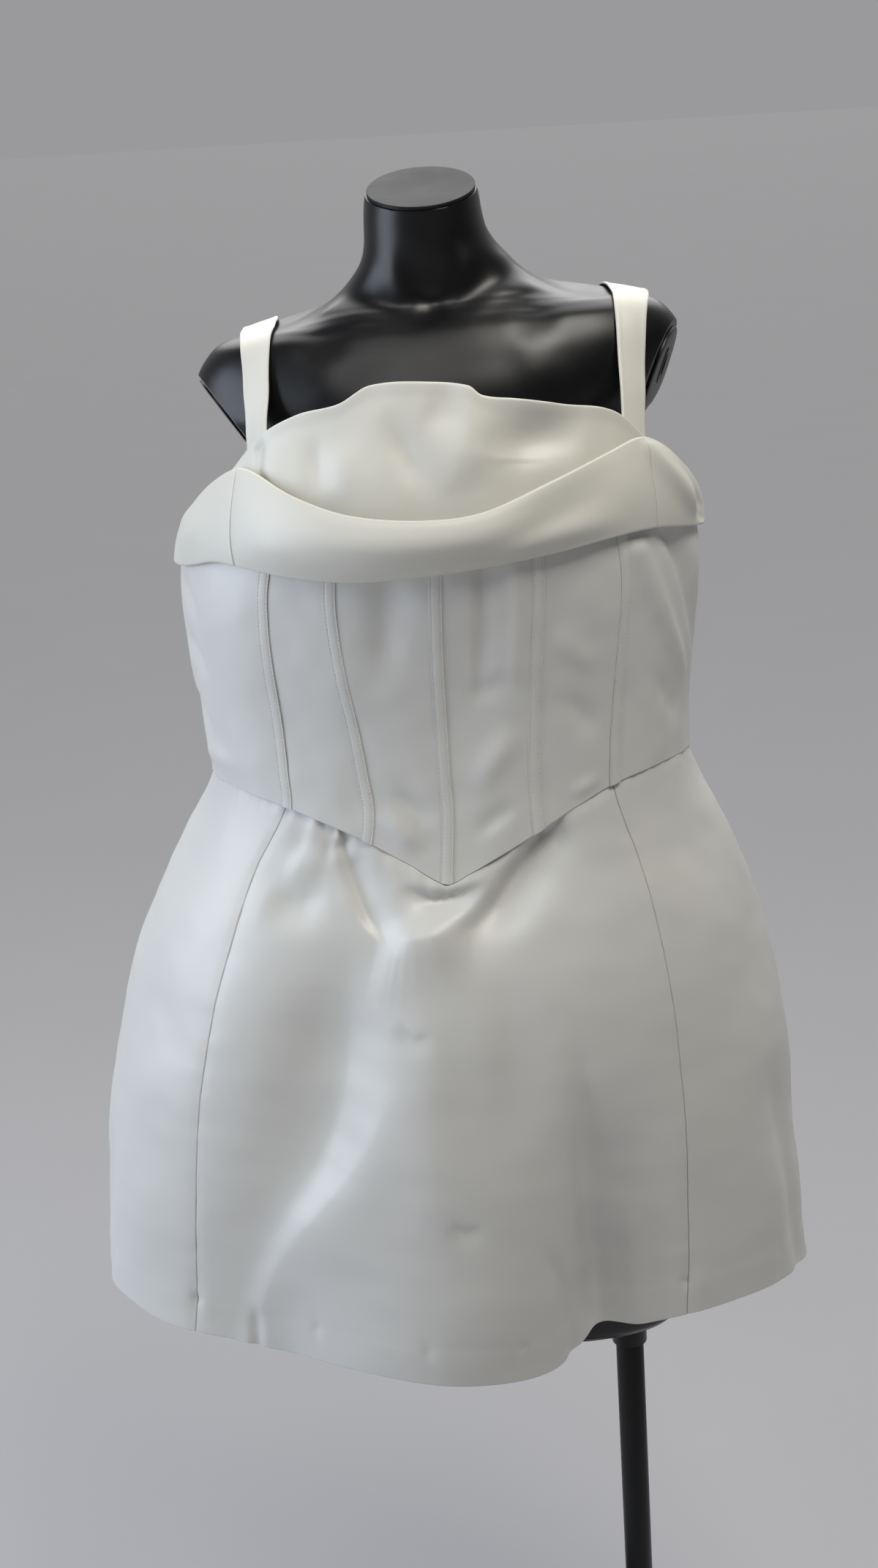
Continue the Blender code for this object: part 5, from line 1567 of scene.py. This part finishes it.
class DRESS_OT_form_fittings(bpy.types.Operator):
    """Make the neck cap and the plates over the arm cuts"""

    bl_idname = "dress.form_fittings"
    bl_label = "Form fittings"

    def execute(self, context):
        cap_black = finish_named("form_cap")
        self.neck_cap(cap_black)
        for cut in ARM_CUTS:
            self.arm_plate(cut, finish_named("form_black"))
        return {"FINISHED"}

    def neck_cap(self, finish):
        """An oval plate over the neck's top, with a fine step under its rim."""
        made = start_round("neck_cap", 1.0, NECK_TOP, NECK_TOP + 0.0030, sides=128)
        select_faces(made, lambda centre, normal: normal.z > 0.9)
        bpy.ops.mesh.inset(thickness=0.02)
        bpy.ops.object.mode_set(mode="OBJECT")
        for v in made.data.vertices:
            deep = 0.049 if v.co.y < 0 else 0.050
            x, y = v.co.x * 0.0435, v.co.y * deep
            v.co = (x, y, v.co.z + SEAM_GAP + NECK_TILT * y)
        bevelled(made, 0.0007)
        finish_piece(made, finish, replaces=["form_neck_cap"])

    def arm_plate(self, cut, finish):
        """A flat plate whose outline follows the cut, set a seam's gap off it."""
        node = f"form_arm_plate_{cut.mark}"
        foot, normal, turn, turned_foot, _ = arm_face(cut)
        up = (Vector((cut.top_x, 0.0, cut.top_z)) - foot).normalized()
        points = [Vector(v.co) for v in bpy.data.objects[node].data.vertices]
        reach = [(p - foot).dot(normal) for p in points]
        far = max(reach)
        face = [p for p, r in zip(points, reach) if r > far - 1e-4]
        middle = sum(face, Vector()) / len(face)
        ring = {}
        for p in face:
            a, b = (p - middle).dot(up), (p - middle).y
            ring[round(math.atan2(a, b), 4)] = (a, b)
        turns = sorted(ring)
        outline = np.array([ring[t] for t in turns])
        turns = np.array(turns)
        steps = np.linspace(-math.pi, math.pi, 97)[:-1]
        size = np.hypot(outline[:, 0], outline[:, 1])
        size = np.interp(steps, turns, size, period=2 * math.pi)
        smooth = size.copy()
        for _ in range(3):
            smooth = 0.5 * smooth + 0.25 * (np.roll(smooth, 1) + np.roll(smooth, -1))
        shape = bmesh.new()
        rings = []
        slot_high, slot_wide = 0.0105, 0.0045
        profile = [(1.0, -0.0018), (1.0, -0.0004), (0.985, 0.0), (0.80, 0.0004)]
        for share, lift in profile:
            rings.append([
                shape.verts.new(middle + up * (s * share * math.sin(t))
                                + Vector((0, s * share * math.cos(t), 0)) + normal * lift)
                for s, t in zip(smooth, steps)])
        if cut.mark == "R":
            for grow, lift in ((1.5, 0.0004), (1.42, 0.0011), (1.1, 0.0012), (1.0, 0.0008),
                               (0.97, -0.0011)):
                rings.append([
                    shape.verts.new(
                        middle + up * (slot_high * grow * math.sin(t))
                        + Vector((0, slot_wide * grow * math.cos(t), 0)) + normal * lift)
                    for t in steps])
        for now, ahead in zip(rings, rings[1:]):
            for i in range(len(now)):
                after = (i + 1) % len(now)
                shape.faces.new((now[i], now[after], ahead[after], ahead[i]))
        shape.faces.new(rings[0][::-1])
        shape.faces.new(rings[-1])
        bmesh.ops.recalc_face_normals(shape, faces=shape.faces[:])
        for v in shape.verts:
            v.co = turned_foot + turn @ (v.co - foot)
        mesh = bpy.data.meshes.new(f"arm_plate_{cut.mark}")
        shape.to_mesh(mesh)
        shape.free()
        mesh.shade_smooth()
        mesh.set_sharp_from_angle(angle=math.radians(40))
        made = bpy.data.objects.new(f"arm_plate_{cut.mark}", mesh)
        bpy.context.scene.collection.objects.link(made)
        finish_piece(made, finish, replaces=[node])


class DRESS_OT_stand(bpy.types.Operator):
    """Make the round base, the socket, the pole and its collar"""

    bl_idname = "dress.stand"
    bl_label = "Stand"

    def execute(self, context):
        steel = finish_named("steel")
        base = start_round("base_plate", BASE_RADIUS, 0.0, BASE_WALL, sides=160)
        select_faces(base, lambda centre, normal: normal.z > 0.9)
        bpy.ops.mesh.inset(thickness=0.010)
        bpy.ops.mesh.inset(thickness=0.0015)
        bpy.ops.transform.translate(value=(0, 0, -0.0004))
        bpy.ops.object.mode_set(mode="OBJECT")
        finish_piece(bevelled(base, 0.0012), steel, replaces=["stand_base"])

        socket = start_round(
            "base_socket", SOCKET_RADIUS, BASE_WALL + SEAM_GAP, SOCKET_BASE_TOP, x=POLE_X)
        select_faces(socket, lambda centre, normal: normal.z > 0.9)
        bpy.ops.mesh.inset(thickness=0.009)
        bpy.ops.transform.translate(value=(0, 0, 0.005))
        bpy.ops.mesh.inset(thickness=0.003)
        bpy.ops.mesh.extrude_region_move(TRANSFORM_OT_translate={"value": (0, 0, 0.0245)})
        bpy.ops.object.mode_set(mode="OBJECT")
        finish_piece(bevelled(socket, 0.0008), steel, replaces=["stand_socket"])

        pole = start_round(
            "pole", POLE_RADIUS, POLE_FOOT, COLLAR_FOOT - SEAM_GAP, x=POLE_X, sides=64)
        select_faces(pole, lambda centre, normal: abs(normal.z) > 0.9)
        bpy.ops.mesh.inset(thickness=0.0012)
        bpy.ops.object.mode_set(mode="OBJECT")
        finish_piece(bevelled(pole, 0.0005, 2), steel, replaces=["stand_pole"])

        collar = start_round(
            "pole_collar", COLLAR_RADIUS, COLLAR_FOOT, FORM_BASE - SEAM_GAP, x=POLE_X, sides=64)
        select_faces(collar, lambda centre, normal: normal.z < -0.9)
        bpy.ops.mesh.inset(thickness=0.0018)
        bpy.ops.transform.translate(value=(0, 0, 0.0008))
        bpy.ops.object.mode_set(mode="OBJECT")
        finish_piece(bevelled(collar, 0.0006, 2), steel, replaces=["stand_collar"])
        return {"FINISHED"}


class DRESS_OT_zip(bpy.types.Operator):
    """Make the zip's slider and its pull"""

    bl_idname = "dress.zip"
    bl_label = "Zip"

    def execute(self, context):
        nickel = finish_named("zip_nickel")
        for name, body, width in (("zip_slider", BODY, 0.00035), ("zip_pull", PULL_BODY, 0.0003)):
            node = bpy.data.objects[name]
            bpy.ops.object.select_all(action="DESELECT")
            made = node.copy()
            made.data = node.data.copy()
            bpy.context.scene.collection.objects.link(made)
            made.name = made.data.name = f"{name}_detailed"
            made.parent = None
            made.matrix_world = Matrix()
            for key in list(made.keys()):
                del made[key]
            shape = bmesh.new()
            shape.from_mesh(made.data)
            bmesh.ops.remove_doubles(shape, verts=shape.verts[:], dist=1e-6)
            bmesh.ops.dissolve_limit(
                shape, angle_limit=math.radians(2), verts=shape.verts[:], edges=shape.edges[:])
            shape.to_mesh(made.data)
            shape.free()
            bevelled(made, width, 2, 50.0)
            finish_piece(made, nickel, body, replaces=[name])
        return {"FINISHED"}


class DRESS_OT_studio(bpy.types.Operator):
    """Make the floor, the lights and the camera"""

    bl_idname = "dress.studio"
    bl_label = "Studio"

    def execute(self, context):
        settings = context.scene.dress_studio
        self.add_floor(settings)
        self.add_surround(context.scene, settings)
        for row in AREA_LIGHTS:
            self.add_area(row, getattr(settings, row.setting) * row.share)
        self.add_floor_light(settings.floor_power)
        self.add_camera(context.scene)
        context.scene.view_settings.view_transform = "Standard"
        return {"FINISHED"}

    def add_surround(self, scene, settings):
        """Even light from all round, weaker from behind the camera, and one even shade to see."""
        world = bpy.data.worlds.new("surround")
        world.use_nodes = True
        tree = world.node_tree
        background = tree.nodes["Background"]
        background.inputs["Color"].default_value = SURROUND_COLOUR
        way = tree.nodes.new("ShaderNodeTexCoord")
        parts = tree.nodes.new("ShaderNodeSeparateXYZ")
        fade = tree.nodes.new("ShaderNodeMapRange")
        fade.interpolation_type = "SMOOTHSTEP"
        fade.inputs["From Max"].default_value = 0.8
        fade.inputs["To Min"].default_value = settings.surround_front
        fade.inputs["To Max"].default_value = settings.surround_back
        tree.links.new(way.outputs["Generated"], parts.inputs["Vector"])
        tree.links.new(parts.outputs["Y"], fade.inputs["Value"])
        seen = tree.nodes.new("ShaderNodeLightPath")
        strength = tree.nodes.new("ShaderNodeMix")
        strength.inputs["B"].default_value = settings.surround_back
        tree.links.new(seen.outputs["Is Camera Ray"], strength.inputs["Factor"])
        tree.links.new(fade.outputs["Result"], strength.inputs["A"])
        tree.links.new(strength.outputs["Result"], background.inputs["Strength"])
        scene.world = world

    def add_floor_light(self, strength):
        """A very soft light from high behind, for the floor that shows behind the dress."""
        light = bpy.data.lights.new("floor_light", "SUN")
        light.energy, light.angle = strength, math.radians(70.0)
        made = bpy.data.objects.new("floor_light", light)
        made.rotation_euler = Vector((0.0, -1.0, -1.0)).to_track_quat("-Z", "Y").to_euler()
        bpy.context.scene.collection.objects.link(made)

    def add_floor(self, settings):
        bpy.ops.object.select_all(action="DESELECT")
        bpy.ops.mesh.primitive_plane_add(size=60.0, location=(0, 0, -0.0005))
        floor = bpy.context.object
        floor.name = "floor"
        made, tree, shader = new_material("floor_paper", "floor")
        grain = add_node(tree, "ShaderNodeTexNoise", Scale=3.0, Detail=4.0)
        place = add_node(tree, "ShaderNodeTexCoord")
        tree.links.new(place.outputs["Object"], grain.inputs["Vector"])
        darker, lighter = ([c * size for c in settings.floor] for size in (0.98, 1.02))
        blend_colours(tree, darker, lighter, grain.outputs["Fac"], shader)
        shader.inputs["Roughness"].default_value = 0.85
        shader.inputs["Specular IOR Level"].default_value = 0.2
        floor.data.materials.append(made)

    def add_area(self, row, power):
        light = bpy.data.lights.new(row.name, "AREA")
        light.shape = "RECTANGLE"
        light.size, light.size_y = row.width, row.height
        light.energy, light.color = power, row.colour
        made = bpy.data.objects.new(row.name, light)
        made.location = row.place
        aim = Vector(LIGHT_AIM) - Vector(row.place)
        made.rotation_euler = aim.to_track_quat("-Z", "Y").to_euler()
        bpy.context.scene.collection.objects.link(made)

    def add_camera(self, scene):
        """The photograph's view: a little from the right, looking down, slightly rolled."""
        azimuth, tilt, roll = (math.radians(a) for a in CAMERA_ANGLES)
        ahead = Vector((-math.sin(azimuth) * math.cos(tilt), math.cos(azimuth) * math.cos(tilt),
                        -math.sin(tilt)))
        level = Vector((math.cos(azimuth), math.sin(azimuth), 0.0))
        upright = level.cross(ahead)
        right = level * math.cos(roll) - upright * math.sin(roll)
        up = upright * math.cos(roll) + level * math.sin(roll)
        camera = bpy.data.cameras.new("camera")
        camera.sensor_width, camera.sensor_fit = SENSOR_WIDTH, "AUTO"
        camera.lens = FOCAL_PIXELS / PICTURE_HEIGHT * SENSOR_WIDTH
        made = bpy.data.objects.new("camera", camera)
        turn = Matrix((right, up, -ahead)).transposed().to_4x4()
        turn.translation = CAMERA_PLACE
        made.matrix_world = turn
        scene.collection.objects.link(made)
        scene.camera = made


class DRESS_PT_panel(bpy.types.Panel):
    """The dress's pieces, sizes and colours"""

    bl_idname = "DRESS_PT_panel"
    bl_label = "Dress"
    bl_space_type = "VIEW_3D"
    bl_region_type = "UI"
    bl_category = "Dress"

    def draw(self, context):
        for group in ("dress_sizes", "dress_colours", "dress_studio"):
            box = self.layout.box()
            settings = getattr(context.scene, group)
            for name in settings.__annotations__:
                box.prop(settings, name)
        for operator in OPERATORS:
            self.layout.operator(operator.bl_idname)


GROUPS = {
    "dress_sizes": DressSizes,
    "dress_colours": DressColours,
    "dress_studio": StudioSettings,
}
OPERATORS = (
    DRESS_OT_skirt,
    DRESS_OT_bodice,
    DRESS_OT_bone_channels,
    DRESS_OT_bust_panel,
    DRESS_OT_folded_band,
    DRESS_OT_straps,
    DRESS_OT_dress_form,
    DRESS_OT_form_fittings,
    DRESS_OT_stand,
    DRESS_OT_zip,
    DRESS_OT_studio,
)


def register():
    for made in (*GROUPS.values(), *OPERATORS, DRESS_PT_panel):
        bpy.utils.register_class(made)
    for name, group in GROUPS.items():
        setattr(bpy.types.Scene, name, bpy.props.PointerProperty(type=group))


def unregister():
    for name in GROUPS:
        delattr(bpy.types.Scene, name)
    for made in (DRESS_PT_panel, *reversed(OPERATORS), *GROUPS.values()):
        bpy.utils.unregister_class(made)


def main():
    register()
    for operator in OPERATORS:
        family, name = operator.bl_idname.split(".")
        getattr(getattr(bpy.ops, family), name)()


if __name__ == "__main__":
    main()
